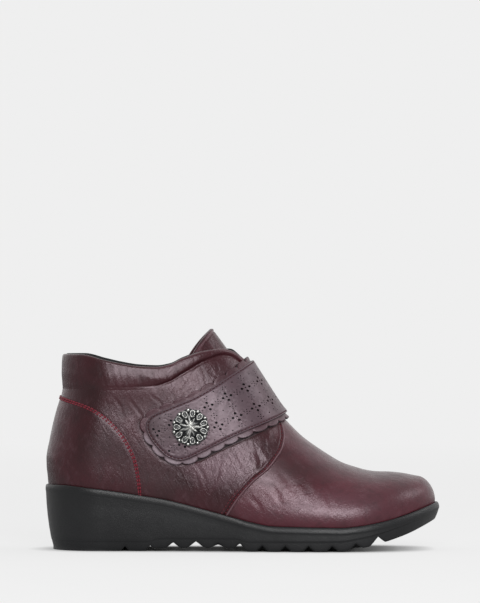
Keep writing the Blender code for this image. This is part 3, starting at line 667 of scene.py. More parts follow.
def leather(name, dark, red, pale, gloss, lean=(0.55, -0.45), grain=1.0, wrinkle=1.0, crackle=1.0, edge_highlight_colour=None,
            cut=False, shine=0.60):
    """Antiqued leather: mottled colour, rubbed streaks, leaning wrinkles, fine crackle and grain.

    The tone painted on a mesh paints a pale highlight into the colour above 0, paints darker, even
    shade below 0, and below -1 paints near-black shadow.
    """
    s = Shader(name)
    # Painted highlight from tone above 0, painted shade from tone below 0
    tone = s.attribute("tone")
    painted_highlight = s.math("MAXIMUM", tone, 0.0)
    painted_shade = s.math("MINIMUM", s.math("MAXIMUM", s.math("MULTIPLY", tone, -1.0), 0.0), 1.0)
    patches = s.noise(26, 3.0, 0.6)
    base = s.ramp(patches, [(0.36, dark), (0.50, tuple((a + b) / 2 for a, b in zip(dark, red))), (0.66, red)])
    base = s.mix(s.math("MULTIPLY", painted_highlight, 0.55), base, colour(*pale))
    base = s.mix(s.math("MULTIPLY", painted_shade, 0.55), base, colour(*PAINTED_SHADE_COLOUR))
    base = s.mix(s.span(tone, -1.0, -1.6, 0.0, 0.85), base, colour(*GAP_SHADOW))
    one = s.noise(310, 3.0, 0.52, s.stretch((1.0, 1.0, 0.30), (0, lean[0], 0)), distortion=0.8)
    two = s.noise(240, 3.0, 0.52, s.stretch((1.0, 1.0, 0.32), (0, lean[1], 0)), distortion=0.8)
    folds = s.math("ADD", one, two)
    base = s.mix(s.span(folds, 1.06, 1.40, 0.0, 0.28), base, colour(*pale))
    base = s.mix(s.span(folds, 0.96, 0.70, 0.0, 0.35), base, colour(*(0.5 * v for v in dark)))
    # Painted highlight along rolled edges and lobes, in its own colour
    if edge_highlight_colour:
        painted_edge_highlight = s.attribute("painted_edge_highlight")
        base = s.mix(painted_edge_highlight, base, colour(*edge_highlight_colour))
    # Painted shade in the pressed dashes and on the cut walls
    if cut:
        pressed_and_shaded = s.attribute("pressed_and_shaded")
        base = s.mix(s.math("MULTIPLY", pressed_and_shaded, 0.88), base, colour(*PAINTED_CUT_SHADE))
    pores = s.cells(1300, "F1")
    fine = s.noise(900, 3.0, 0.6)
    net = s.span(s.cells(560, "DISTANCE_TO_EDGE", s.warp(0.0022, 260)), 0.0, 0.12, 0.0, 1.0)
    still = s.span(painted_shade, 0.0, 1.0, 1.0, 0.15)
    bumps = s.relief(s.math("ADD", pores, s.math("MULTIPLY", fine, 0.8)), 0.000028 * grain)
    bumps = s.relief(s.math("MULTIPLY", net, still), 0.00003 * crackle, before=bumps)
    bumps = s.relief(s.math("MULTIPLY", one, still), 0.00030 * wrinkle, before=bumps)
    bumps = s.relief(s.math("MULTIPLY", two, still), 0.00034 * wrinkle, before=bumps)
    rough = s.span(s.math("ADD", folds, s.math("MULTIPLY", fine, 0.3)), 0.90, 1.45, gloss + 0.06, gloss - 0.06)
    rough = s.math("ADD", rough, s.math("ADD", s.math("MULTIPLY", painted_shade, 0.06), s.span(tone, -1.0, -1.6, 0.0, 0.5)))
    return s.finish(
        Base_Color=base, Roughness=rough, Normal=bumps, Coat_Weight=0.06, Coat_Roughness=0.24,
        Specular_IOR_Level=shine, Specular_Tint=colour(1.0, 0.84, 0.92),
    )


def rubber(name):
    s = Shader(name)
    speckle = s.noise(1400, 3.0, 0.7)
    cloud = s.noise(35, 3.0, 0.5)
    mottle = s.math("ADD", s.math("MULTIPLY", cloud, 0.6), s.math("MULTIPLY", speckle, 0.4))
    base = s.ramp(mottle, [(0.30, (0.012, 0.0122, 0.0132)), (0.72, (0.020, 0.0205, 0.0222))])
    bumps = s.relief(speckle, 0.00010)
    bumps = s.relief(s.noise(120, 2.0, 0.5), 0.00016, before=bumps)
    rough = s.span(cloud, 0.3, 0.7, 0.36, 0.46)
    return s.finish(Base_Color=base, Roughness=rough, Normal=bumps, Specular_IOR_Level=0.45)


def textile(name, tone, scale=1300):
    s = Shader(name)
    weave = s.math("MULTIPLY", s.noise(scale, 2.0, 0.5, s.stretch((1.0, 1.0, 0.35))),
                   s.noise(scale, 2.0, 0.5, s.stretch((0.35, 0.35, 1.0))))
    base = s.ramp(weave, [(0.15, tuple(0.6 * v for v in tone)), (0.40, tone)])
    return s.finish(Base_Color=base, Roughness=0.92, Normal=s.relief(weave, 0.0004), Sheen_Weight=0.15)


def thread(name, tone, sheen=0.2):
    s = Shader(name)
    twist = s.noise(1500, 2.0, 0.5, s.stretch((1.0, 1.0, 0.3), (0.4, 0.5, 0.2)))
    base = s.ramp(twist, [(0.30, tuple(0.55 * v for v in tone)), (0.65, tone)])
    return s.finish(Base_Color=base, Roughness=0.60, Normal=s.relief(twist, 0.0002), Sheen_Weight=sheen)


def medal(name):
    s = Shader(name)
    relief = s.attribute("relief")
    tarnish = s.noise(420, 3.0, 0.6)
    height = s.math("ADD", relief, s.math("MULTIPLY", s.math("SUBTRACT", tarnish, 0.5), 0.22))
    base = s.ramp(height, [(0.26, (0.014, 0.015, 0.016)), (0.46, (0.20, 0.205, 0.205)), (0.70, (0.85, 0.85, 0.82))])
    rough = s.span(height, 0.3, 0.8, 0.55, 0.22)
    return s.finish(Base_Color=base, Metallic=1.0, Roughness=rough, Normal=s.relief(tarnish, 0.00005))


# Dark, middle and pale colour of each leather (the pale one for rubbed streaks and painted highlights), its roughness
# and the lean of its wrinkles
burgundy = leather("burgundy_leather", (0.034, 0.011, 0.012), (0.062, 0.012, 0.017), (0.150, 0.085, 0.102), 0.28,
                   edge_highlight_colour=(0.23, 0.125, 0.145), shine=0.50)
vamp_leather = leather("vamp_leather", (0.052, 0.013, 0.016), (0.098, 0.017, 0.026), (0.160, 0.080, 0.098), 0.31,
                       (0.9, -0.9), grain=0.8, wrinkle=0.45, crackle=0.8)
strap_leather = leather("strap_leather", (0.085, 0.055, 0.066), (0.110, 0.062, 0.076), (0.160, 0.120, 0.138), 0.36,
                        (1.0, 0.2), grain=0.8, wrinkle=0.15, crackle=0.3, cut=True)
edging_leather = leather("edging_leather", (0.050, 0.018, 0.022), (0.075, 0.022, 0.030), (0.110, 0.060, 0.070), 0.42,
                         wrinkle=0.5, edge_highlight_colour=(0.22, 0.17, 0.195))
charcoal = rubber("charcoal_rubber")
black_cloth = textile("black_lining", (0.020, 0.018, 0.020))
footbed_cloth = textile("footbed_textile", (0.030, 0.027, 0.029), 900)
crimson = thread("crimson_thread", (0.24, 0.011, 0.030), 0.05)
wine = thread("wine_thread", (0.075, 0.004, 0.010), 0.0)
garnet = thread("garnet_thread", (0.17, 0.010, 0.024), 0.1)
silver = medal("antique_silver")


# ---------------------------------------------------------------- upper

FINE = 7  # mesh rows for one share of the quarter's height
COLUMNS = 190  # mesh columns of one quarter
EDGE_ROWS = 12 * FINE  # rows of the quarter's front edge below the slit
SLIT_ROWS = 4 * FINE  # rows from there to the seam of the collar band
BAND_ROWS = 30  # rows of the collar band

# Relief of the quarter, metres
COUNTER_STEP, COUNTER_STEP_WIDTH = 0.00035, 0.0012
COUNTER_GROOVE, COUNTER_GROOVE_PLACE, COUNTER_GROOVE_WIDTH = 0.00025, 0.00085, 0.0004
FOLD, FOLD_PLACE, FOLD_WIDTH = 0.00055, 0.0009, 0.0008
FOLD_SEAM_WIDTH = 0.0005
AFTER_FOLD, AFTER_FOLD_PLACE, AFTER_FOLD_WIDTH = 0.00030, 0.0040, 0.0010
COLLAR_ROUND, EDGE_ROUND = 0.0016, 0.0009
PINCH, PINCH_REACH = 0.00018, 0.0012
LINING_INSET = 0.0016
BINDING_THICK, SLIT_BINDING_THICK = 0.00045, 0.0008

# Stitches, metres
STITCH_INSET = 0.0024
SECOND_ROW = 0.0026
EDGE_STITCH, EDGE_STITCH_GAP = 0.0017, 0.0007
COUNTER_STITCH, COUNTER_STITCH_GAP, COUNTER_THREAD = 0.0021, 0.0004, 0.00060
COUNTER_ROW = 0.00064
STRAP_STITCH, STRAP_STITCH_GAP, STRAP_THREAD = 0.0018, 0.0006, 0.00026


def quarter_grid():
    """Both quarters with the collar band, as one grid from the outer front edge round the heel."""
    edge, slit = quarter_edge(), facing()
    up = np.linspace(0, 1, EDGE_ROWS + SLIT_ROWS + 1)
    below_band = 1 - follow(COLLAR, 2, FACING_TOP) * SHAFT_HEIGHT / (slit[-1, 1] - slit[0, 1])
    low_key = spaced(edge, np.linspace(0, 1, EDGE_ROWS + 1))
    high_key = spaced(slit, below_band * np.linspace(0, 1, SLIT_ROWS + 1)[1:])
    key = np.concatenate([low_key, high_key])
    heel_band = band_height(position(0.03))
    left = heel_column(rim_height(heel_line(WEDGE_HEIGHT)), heel_band, up)
    bottom = level_line(rim_height, left[0], key[0])
    seam = level_line(band_height, left[-1], key[-1])
    across = eased(COLUMNS + 1)[None]
    quarter = blend(bottom, seam, left, key, np.repeat(across, len(up), axis=0), up)
    rise = eased(BAND_ROWS + 1)
    band_key = spaced(slit, below_band + (1 - below_band) * rise)
    band_left = heel_column(heel_band, collar_height(position(0.03)), rise)
    top = level_line(collar_height, band_left[-1], band_key[-1])
    band = blend(seam, top, band_left, band_key, np.repeat(across, len(rise), axis=0), rise)
    flat = np.concatenate([quarter, band[1:]])
    points = np.concatenate([on_last(flat, -1)[:, ::-1], on_last(flat, 1)[:, 1:]], axis=1)
    skirt = points[:1] - np.array([0, 0, LEDGE_DEPTH - CLEARANCE])
    return np.concatenate([skirt, points]), len(quarter)


def pinch(up):
    """How much the leather draws in just above the sole's rim."""
    return PINCH * np.exp(-np.clip(up - LEDGE_DEPTH, 0, 1) / PINCH_REACH)


def forward_share(x):
    """Rises from 0 at the heel to 1 at the front of the collar."""
    return soft_step((x + 0.075) / 0.030)


def quarter_lift(base, front, up, seam_row, counter):
    """Height of the leather of the quarter and the collar band over the foot form."""
    x, z = base[..., 0], base[..., 2]
    from_seam, from_top = up - up[seam_row], up[-1] - up
    fade = np.clip((x - position(0.38)) / (0.08 * LAST_LENGTH), 0, 1)
    band_wall = COLLAR_WALL + (QUARTER_WALL - COLLAR_WALL) * fade
    share = np.clip(from_seam / np.maximum(up[-1] - up[seam_row], 1e-6), 0, 1)
    forward = forward_share(x)
    lift = QUARTER_WALL + (band_wall - QUARTER_WALL) * soft_step(from_seam / (0.010 - 0.008 * forward))
    lift += (0.0003 + 0.0006 * forward - 0.0004 * fade) * np.sin(np.pi * share) ** 0.7
    lift -= (0.00022 + 0.00090 * forward) * hump(from_seam, 0.0009) * soft_step(front / 0.002)
    for place, width, depth in BAND_PUCKERS:
        lean = (from_seam - 0.006) * 0.25
        shape = soft_step(share / 0.08) * (0.25 + 0.75 * (1 - share))
        lift -= depth / 1000 * 0.8 * hump(x - place / 1000 + lean, width / 1000) * shape
    below = from_seam < -0.001
    distance, _ = to_line(x, z, counter)
    lift -= np.where(below, COUNTER_STEP * soft_step(0.5 + distance / COUNTER_STEP_WIDTH), 0)
    beside = (hump(distance + shift, COUNTER_GROOVE_WIDTH) for shift in (-COUNTER_GROOVE_PLACE, COUNTER_GROOVE_PLACE))
    lift -= np.where(below, COUNTER_GROOVE * sum(beside), 0)
    lift += np.where(below, creases(x, z, QUARTER_CREASES), 0) + swells(x, z, QUARTER_SWELLS) / 1000
    lift += FOLD * hump(front - FOLD_PLACE, FOLD_WIDTH) - FOLD * hump(front - STITCH_INSET, FOLD_SEAM_WIDTH)
    lift += AFTER_FOLD * hump(front - AFTER_FOLD_PLACE, AFTER_FOLD_WIDTH)
    lift -= pinch(up)
    lift -= COLLAR_ROUND * (1 - rounded(from_top, COLLAR_ROUND)) + EDGE_ROUND * (1 - rounded(front, EDGE_ROUND))
    return lift


def make_quarters():
    base, seam_row = quarter_grid()
    normals = grid_normals(base)
    across, up = run_length(base, 1), run_length(base, 0)
    front = np.minimum(across, across[:, -1:] - across)
    counter = smooth_line(COUNTER_SEAM, 60)
    outer = base + normals * quarter_lift(base, front, up, seam_row, counter)[..., None]
    sides = [base[:, :1] + normals[:, :1] * 0.001, outer, base[:, -1:] + normals[:, -1:] * 0.001]
    shell = np.concatenate(sides, axis=1)
    top = base[-1] + normals[-1] * 0.0012
    shell = np.concatenate([shell, np.concatenate([shell[-1:, :1], top[None], shell[-1:, -1:]], axis=1)])
    made = make_sheet("quarters", shell, burgundy, "upper_leather", flip=True)
    on_band = np.arange(len(base))[:, None] > seam_row
    # Painted highlight along the rolled front edge and along the front of the collar's top
    collar_highlight = 0.25 * forward_share(base[..., 0]) * hump(up[-1] - up - 0.0006, 0.0009) * on_band
    painted_edge_highlight = 0.70 * hump(front - 0.0007, 0.0008) + collar_highlight
    painted_edge_highlight = np.concatenate([painted_edge_highlight[:, :1], painted_edge_highlight, painted_edge_highlight[:, -1:]], axis=1)
    paint(made, "painted_edge_highlight", np.concatenate([painted_edge_highlight, painted_edge_highlight[-1:]]))
    # Painted highlight and shade zones, and a painted shadow in the gap under the strap's lower edge
    gap, _ = to_line(shell[..., 0], shell[..., 2], np.array(STRAP_GAP) / 1000)
    near_side = shell[..., 1] < 0
    shade = 1.8 * hump(gap + 0.0004, 0.0017) * near_side
    paint(made, "tone", swells(shell[..., 0], shell[..., 2], QUARTER_PAINTED_LIGHT) * (1 - np.minimum(shade, 1)) - shade)
    make_collar(base, normals)
    make_counter_stitches(counter)
    make_edge_stitches(outer, normals, front)


def make_collar(base, normals):
    """Lining of the quarters, and binding of the collar and the slit."""
    brim = base[-1:, ::5] + normals[-1:, ::5] * LINING_INSET
    inside = np.concatenate([base[::4, ::5], base[-1:, ::5], brim])
    make_sheet("quarter_lining", inside, black_cloth, "insole_textile")
    rim = base[-1] + normals[-1] * 0.0013
    inner_front = soft_step((rim[:, 0] + 0.014) / 0.008) * (np.arange(len(rim)) > len(rim) // 2)
    thick = BINDING_THICK + 0.0005 * inner_front
    rim = rim + np.array([0, 0, 0.0014]) * inner_front[:, None]
    binding = tube((rim - normals[-1] * 0.0002)[::2], normals[-1][::2], thick[::2], 8)
    slit_rows = slice(EDGE_ROWS + 4, len(base))
    for edge in (0, -1):
        line = base[slit_rows, edge] + normals[slit_rows, edge] * 0.0011
        binding = merge([binding, tube(line, normals[slit_rows, edge], SLIT_BINDING_THICK, 8)])
    make_piece("collar_binding", *binding, black_cloth, "upper", "insole_textile")


def make_counter_stitches(counter):
    """The two rows along the heel counter's seam, on both sides."""
    rows = []
    for shift in (-COUNTER_ROW, COUNTER_ROW):
        side_line = counter - shift * outward(counter)
        for side in (-1, 1):
            spots, out = on_skin(side_line, side, QUARTER_WALL + 0.00005)
            rows.append(stitch_row(spots, out, COUNTER_STITCH, COUNTER_STITCH_GAP, COUNTER_THREAD))
    make_piece("counter_stitches", *merge(rows), crimson, "upper", "upper_leather")


def make_edge_stitches(outer, normals, front):
    """The rows behind the quarter's front edge: one long, a short second one below, one up the slit."""
    rows = []

    def edge_stitches(line, out, rise, radius):
        rows.append(stitch_row(line + out * rise, out, EDGE_STITCH, EDGE_STITCH_GAP, radius))

    for side in (-1, 1):
        line, out = (behind_edge(grid, front, range(2, EDGE_ROWS + 1), side) for grid in (outer, normals))
        edge_stitches(line, out, 0.0001, 0.00034)
        low = slice(3 * FINE)
        edge_stitches(line[low] - np.array([SECOND_ROW, 0, 0]), out[low], 0.0004, 0.00026)
    for side in (-1, 1):
        top_rows = range(EDGE_ROWS + 6, len(outer) - 8)
        line, out = (behind_edge(grid, front, top_rows, side) for grid in (outer, normals))
        edge_stitches(line, out, 0.0002, 0.00026)
    make_piece("quarter_stitches", *merge(rows), garnet, "upper", "upper_leather")


def behind_edge(grid, front, rows, side):
    """Values of a grid along the stitch line behind the quarter's front edge."""
    half = grid.shape[1] // 2
    columns = slice(0, half) if side < 0 else slice(grid.shape[1] - 1, half, -1)
    found = [[np.interp(STITCH_INSET, front[row, columns], grid[row, columns, k]) for k in range(3)] for row in rows]
    return np.array(found)


def on_skin(line, side, height):
    """Points and normals of a side-view line laid on the outside of the upper."""
    x, z = line[:, 0], line[:, 1]
    x = np.maximum(x, heel_line(z) + 0.00002)
    z = np.minimum(z, ridge_height(x) - 0.00002)
    step = 0.0001
    slope_x = (last_side(x + step, z, side) - last_side(np.maximum(x - step, heel_line(z)), z, side)) / (
        step + np.minimum(step, x - heel_line(z))
    )
    slope_z = (last_side(x, z + step, side) - last_side(x, z - step, side)) / (2 * step)
    normals = unit(side * np.stack([-slope_x, np.ones(len(x)), -slope_z], axis=-1))
    return np.stack([x, last_side(x, z, side), z], axis=-1) + normals * height, normals


def make_vamp():
    edge = quarter_edge()
    up = np.linspace(0, 1, 141)
    key = spaced(edge, up)
    x = position(1) + (key[-1, 0] - position(1)) * np.linspace(0, 1, 401) ** 2
    ridge = spaced(np.stack([x, ridge_height(x)], axis=-1), up**1.35)
    tip_floor = level_line(rim_height, key[0], ridge[0])

    def throat(share):
        return key[-1] + (ridge[-1] - key[-1]) * share[..., None]

    share = np.concatenate([[-0.05, -0.025], np.sin(np.pi * np.linspace(0, 1, 131) / 2)])[None]
    flat = blend(tip_floor, throat, key, ridge, np.repeat(share, len(up), axis=0), up)
    base = np.concatenate([on_last(flat, -1), on_last(flat, 1)[:, -2::-1]], axis=1)
    base = np.concatenate([base[:1] - np.array([0, 0, LEDGE_DEPTH - CLEARANCE]), base])
    normals = -grid_normals(base)
    x, z = base[..., 0], base[..., 2]
    lift = VAMP_WALL + creases(x, z, VAMP_CREASES) + swells(x, z, VAMP_SWELLS) / 1000 - pinch(run_length(base, 0))
    outer = base + normals * lift[..., None]
    made = make_sheet("vamp", outer, vamp_leather, "upper_leather")
    # Painted highlight and shade zones of the vamp
    paint(made, "tone", swells(outer[..., 0], outer[..., 2], VAMP_PAINTED_LIGHT))
    make_sheet("vamp_lining", base[::4, 2:-2:4], black_cloth, "insole_textile", flip=True)


# ---------------------------------------------------------------- tongue, strap and button


def make_tongue(wrap):
    rows, columns = 71, 61
    side = np.sin(np.pi / 2 * np.linspace(-1, 1, columns))[None]
    way = eased(rows)[:, None] * np.ones_like(side)
    side = side * np.ones_like(way)
    a = side * TONGUE_WIDTH / 2 * follow(TONGUE_SIDES, 1, way)
    top = -TONGUE_TOP + 0.14 * TONGUE_WIDTH * side**2
    base = TONGUE_BASE - 0.08 * TONGUE_WIDTH * side**2
    b = base + (top - base) * way
    inset = 3 * CLEARANCE + TONGUE_SLACK * way**1.5
    flat = np.stack([a, b], axis=-1)
    to_side = np.minimum(run_length(flat, 1), run_length(flat, 1)[:, -1:] - run_length(flat, 1))
    to_end = np.minimum(run_length(flat, 0), run_length(flat, 0)[-1:] - run_length(flat, 0))
    rim = np.minimum(to_side, to_end)
    half = TONGUE_WALL / 2
    swell = half * rounded(rim, half)
    groove = 0.00040 * hump(rim - 0.0026, 0.0005) - 0.00035 * hump(rim - 0.0013, 0.0008)
    middle = -inset - half
    upper = wrap(a, b, middle + swell - groove * np.minimum(rim / 0.0005, 1))
    lower = wrap(a, b, middle - swell)
    points = np.concatenate([upper.reshape(-1, 3), lower.reshape(-1, 3)])
    faces = grid_faces(rows, columns)
    count = len(faces)
    faces += grid_faces(rows, columns, flip=True, first=rows * columns)
    made = make_piece("tongue_pad", points, faces, [burgundy, black_cloth], "tongue", "tongue_leather")
    lined = (rim[:-1, :-1] > 0.0090).ravel().astype(int).tolist()
    made.data.polygons.foreach_set("material_index", [0] * count + lined)
    # Painted highlight along the tongue's rolled edge
    paint(made, "painted_edge_highlight", np.concatenate([0.7 * hump(rim - 0.0020, 0.0005), 0 * rim]))


def strap_outline(spacing):
    """The strap's edge and the matching points of its middle line, both as (a, b), from the inner end round."""
    joint = STRAP_ROUND_FROM * STRAP_OUTER_REACH
    count = max(round((STRAP_INNER_REACH - joint) / spacing), 8)
    straight = np.linspace(STRAP_INNER_REACH, joint, count + 1)
    share = straight / STRAP_OUTER_REACH
    lower = np.column_stack([straight, STRAP_WIDTH * follow(STRAP_EDGES, 2, share)])
    upper = np.column_stack([straight, STRAP_WIDTH * follow(STRAP_EDGES, 1, share)])
    middle, half = (lower[-1, 1] + upper[-1, 1]) / 2, (lower[-1, 1] - upper[-1, 1]) / 2
    turn = np.linspace(0, np.pi, 721)
    power = 2 / STRAP_ROUNDNESS
    bow = np.column_stack(
        [
            joint - (STRAP_OUTER_REACH + joint) * np.abs(np.sin(turn)) ** power,
            middle + half * np.sign(np.cos(turn)) * np.abs(np.cos(turn)) ** power,
        ]
    )
    length = np.linalg.norm(np.diff(bow, axis=0), axis=1).sum()
    bow = spaced(bow, np.linspace(0, 1, 2 * round(length / spacing / 2) + 1))[1:-1]
    edge = np.concatenate([lower, bow, upper[::-1]])
    spine = np.concatenate([straight, np.full(len(bow), joint), straight[::-1]])
    centre = (lower[:, 1] + upper[:, 1]) / 2
    height = np.concatenate([centre, np.full(len(bow), centre[-1]), centre[::-1]])
    return edge, np.column_stack([spine, height])


def outward(edge):
    along = unit(np.gradient(edge, axis=0))
    return np.column_stack([along[:, 1], -along[:, 0]])


EDGING_INSIDE = (0.0, 0.35, 0.7, 0.93)  # rings under the strap, as shares of its half width
EDGING_REACH = (0.0, 0.2, 0.4, 0.6, 0.78, 0.9, 0.97, 1.0)  # rings from the strap's edge to the scallops' rim


def make_edging(wrap):
    edge, spine = strap_outline(SCALLOP_PITCH / 18)
    run = way_along(edge)
    phase = (run / run[-1] * round(run[-1] / SCALLOP_PITCH)) % 1.0
    bow = np.sqrt(np.clip(1 - (2 * phase - 1) ** 2, 0, 1))
    reach = (SCALLOP_REACH * (0.28 + 0.72 * bow**0.8))[:, None]
    base = QUARTER_WALL + 1.5 * CLEARANCE
    rings, heights = [], []
    for share in EDGING_INSIDE:
        rings.append(spine + share * (edge - spine))
        heights.append(np.full(len(edge), EDGING_LAYER))
    for share in EDGING_REACH:
        rings.append(edge + outward(edge) * reach * share)
        flare = 0.0005 * bow * share**2 - 0.00035 * (1 - bow) * share
        heights.append(EDGING_LAYER * (0.55 + 0.45 * rounded(1 - share, 0.25)) + flare)
    heights = np.array(heights)
    top, low = (
        np.array([wrap(ring[:, 0], ring[:, 1], base + height) for ring, height in zip(rings, layer)])
        for layer in (heights, np.clip(heights - EDGING_LAYER, -0.0003, 1))
    )
    sheet = np.concatenate([top, low[::-1]])
    faces = grid_faces(*sheet.shape[:2], flip=True)
    lower_side = soft_step((edge[:, 1] - spine[:, 1]) / 0.008 + 1.5)
    lower_side = lower_side * (0.25 + 0.75 * soft_step((-0.030 - edge[:, 0]) / 0.030))
    # Painted highlight on the lower lobes of the scallops
    painted_edge_highlight = np.zeros(sheet.shape[:2])
    for k, share in enumerate(EDGING_REACH):
        painted_edge_highlight[len(EDGING_INSIDE) + k] = lower_side * soft_step(share / 0.5) * (0.35 + 0.65 * bow) * 0.9
    made = make_piece("scalloped_edging", sheet.reshape(-1, 3), faces, [edging_leather, black_cloth], "strap_edging",
                      "edging_leather")
    in_row = sheet.shape[1] - 1
    index = np.zeros(len(faces), int)
    index[: (len(EDGING_INSIDE) - 1) * in_row] = 1
    index[(len(top) - 1) * in_row :] = 1
    made.data.polygons.foreach_set("material_index", index.tolist())
    paint(made, "painted_edge_highlight", painted_edge_highlight)


# Punched pattern of the strap, metres
PUNCH_PITCH = 0.0126
BIG_GROUP = (0.00245, 0.00082, 0.00048)  # ring, outer holes, middle hole
SMALL_GROUP = (0.00155, 0.00038, 0.00034)
LONE_HOLE = 0.00042
DASH = (0.00080, 0.00018)  # half length, half width
DASH_RINGS = ((0.0043, 10, 0.0, 0.0), (0.0059, 8, 0.5, np.pi / 2))  # radius, number, shift, turn
HOLE_TO_EDGE, DASH_TO_EDGE = 0.0027, 0.0032
DASH_TO_HOLE, DASH_TO_DASH = 0.00095, 0.00155


def punched_pattern():
    """Round holes (a, b, radius) and short cuts (a, b, direction, half length, half width), in metres."""
    holes, cuts = [], []

    def cluster(a, b, ring, big, small, turn):
        holes.append((a, b, small))
        for k in range(4):
            angle = turn + k * np.pi / 2
            holes.append((a + ring * np.cos(angle), b + ring * np.sin(angle), big))

    for k in range(-4, 11):
        cluster(-0.0515 + PUNCH_PITCH * k, -0.0072, *BIG_GROUP, 0.12)
        cluster(-0.0545 + PUNCH_PITCH * k, 0.0073, *BIG_GROUP, 0.12)
    for k in range(-4, 11):
        for a, b in ((-0.0450, -0.0070), (-0.0525, 0.0), (-0.0480, 0.0072), (-0.0500, -0.0141), (-0.0560, 0.0142)):
            cluster(a + PUNCH_PITCH * k, b, *SMALL_GROUP, 0.5)
        for a, b in ((-0.0435, -0.0143), (-0.0460, -0.0003), (-0.0495, 0.0143)):
            holes.append((a + PUNCH_PITCH * k, b, LONE_HOLE))
    for a, b, _ in [h for h in holes if h[2] == BIG_GROUP[2]]:
        for ring, count, shift, turn in DASH_RINGS:
            for k in range(count):
                angle = 2 * np.pi * (k + shift) / count
                cuts.append((a + ring * np.cos(angle), b + ring * np.sin(angle), angle + turn, *DASH))
    return holes, cuts


def inside_outline(points, outline):
    """Which points lie inside a closed outline."""
    x, y = points[:, 0][:, None], points[:, 1][:, None]
    x0, y0 = outline[:, 0][None], outline[:, 1][None]
    x1, y1 = np.roll(outline[:, 0], -1)[None], np.roll(outline[:, 1], -1)[None]
    cross = (y0 > y) != (y1 > y)
    where = x0 + (y - y0) * (x1 - x0) / np.where(y1 == y0, 1, y1 - y0)
    return (cross & (x < where)).sum(axis=1) % 2 == 1


def edge_distance(points, outline):
    best = np.full(len(points), 1e9)
    for start, end in zip(outline, np.roll(outline, -1, axis=0)):
        d = end - start
        t = np.clip(((points - start) @ d) / max(d @ d, 1e-18), 0, 1)
        best = np.minimum(best, np.linalg.norm(points - start - t[:, None] * d, axis=1))
    return best


def well_inside(points, outline, margin):
    return inside_outline(points, outline) & (edge_distance(points, outline) > margin)


def punched_cuts(edge):
    """The pattern's holes and cuts that fit on the strap, with the holes' middles and radii."""
    holes, cuts = punched_pattern()
    keep = well_inside(np.array([h[:2] for h in holes]), edge, HOLE_TO_EDGE)
    holes = [h for h, k in zip(holes, keep) if k]
    centres, radii = np.array([h[:2] for h in holes]), np.array([h[2] for h in holes])
    keep = well_inside(np.array([c[:2] for c in cuts]), edge, DASH_TO_EDGE)
    chosen = []
    for cut, good in zip(cuts, keep):
        spot = np.array(cut[:2])
        if not good or (np.linalg.norm(centres - spot, axis=1) - radii).min() < DASH_TO_HOLE:
            continue
        if chosen and np.linalg.norm(np.array([c[:2] for c in chosen]) - spot, axis=1).min() < DASH_TO_DASH:
            continue
        chosen.append(cut)
    return holes, chosen, centres, radii


STRAP_POINTS = 0.0009  # spacing along the strap's edge, metres
STRAP_GRID = 0.0016  # spacing of the points between the holes
STRAP_ROUND = 0.0005
STRAP_SEAM = 0.0011  # way of the stitches from the edge


def flat_strap(edge):
    """Points and triangles of the punched sheet laid flat, and which points lie in a pressed dash, where shade is
    painted.
    """
    loops = [edge]
    for inset in (0.0003, 0.0007, 0.0011, 0.0015, 0.0020):
        line = edge - outward(edge) * inset
        line[0, 0] -= inset
        line[-1, 0] -= inset
        loops.append(line[1:-1] if inset > 0.001 else line)
    holes, cuts, centres, radii = punched_cuts(edge)
    cut_loops, troughs = [], []
    for a, b, radius in holes:
        turn = np.linspace(0, 2 * np.pi, 10 if radius == BIG_GROUP[1] else 7, endpoint=False)
        cut_loops.append(np.column_stack([a + radius * np.cos(turn), b + radius * np.sin(turn)]))
    for a, b, direction, length, width in cuts:
        c, s = np.cos(direction), np.sin(direction)
        shape = np.array([(-1, 0), (-0.8, -1), (0.8, -1), (1, 0), (0.8, 1), (-0.8, 1)]) * (length, width)
        u, v = shape[:, 0], shape[:, 1]
        cut_loops.append(np.column_stack([a + u * c - v * s, b + u * s + v * c]))
        u = np.array([-0.7, 0.0, 0.7]) * length
        troughs.append(np.column_stack([a + u * c, b + u * s]))
    a, b = np.arange(-0.095, 0.066, STRAP_GRID), np.arange(-0.022, 0.022, STRAP_GRID)
    grid = np.stack(np.meshgrid(a, b), axis=-1)
    grid[1::2, :, 0] += STRAP_GRID / 2
    grid = grid.reshape(-1, 2)
    grid = grid[well_inside(grid, edge, 0.0026)]
    rims = np.concatenate(cut_loops)
    clear = np.array([np.abs(rims - g).max(axis=1).min() for g in grid])
    grid = grid[clear > 0.0005]
    points, links = [], []

    def put(loop, closed=True):
        first = sum(len(p) for p in points)
        points.append(loop)
        count = len(loop)
        links.extend((first + k, first + (k + 1) % count) for k in range(count if closed else count - 1))

    put(edge)
    for line in loops[1:]:
        put(line, closed=False)
    for loop in cut_loops:
        put(loop)
    for line in troughs:
        put(line, closed=False)
    points.append(grid)
    flat = np.concatenate(points)
    found = delaunay_2d_cdt([tuple(p) for p in (flat * 1000).tolist()], links, [], 0, 1e-5)
    flat = np.array([tuple(v) for v in found[0]]) / 1000
    triangles = np.array([f for f in found[2] if len(f) == 3])
    middle = flat[triangles].mean(axis=1)
    keep = inside_outline(middle, edge)
    gap = np.linalg.norm(middle[:, None] - centres[None], axis=2) - radii[None] * 0.97
    keep &= gap.min(axis=1) > 0
    triangles = triangles[keep]
    pressed_and_shaded = np.zeros(len(flat))
    for a, b, direction, length, width in cuts:
        c, s = np.cos(direction), np.sin(direction)
        u = (flat[:, 0] - a) * c + (flat[:, 1] - b) * s
        v = -(flat[:, 0] - a) * s + (flat[:, 1] - b) * c
        pressed_and_shaded = np.maximum(pressed_and_shaded, (np.abs(u) < length * 0.8) & (np.abs(v) < width * 0.3))
    turned = np.cross(flat[triangles[:, 1]] - flat[triangles[:, 0]], flat[triangles[:, 2]] - flat[triangles[:, 0]])
    triangles[turned < 0] = triangles[turned < 0][:, ::-1]
    return flat, triangles, pressed_and_shaded


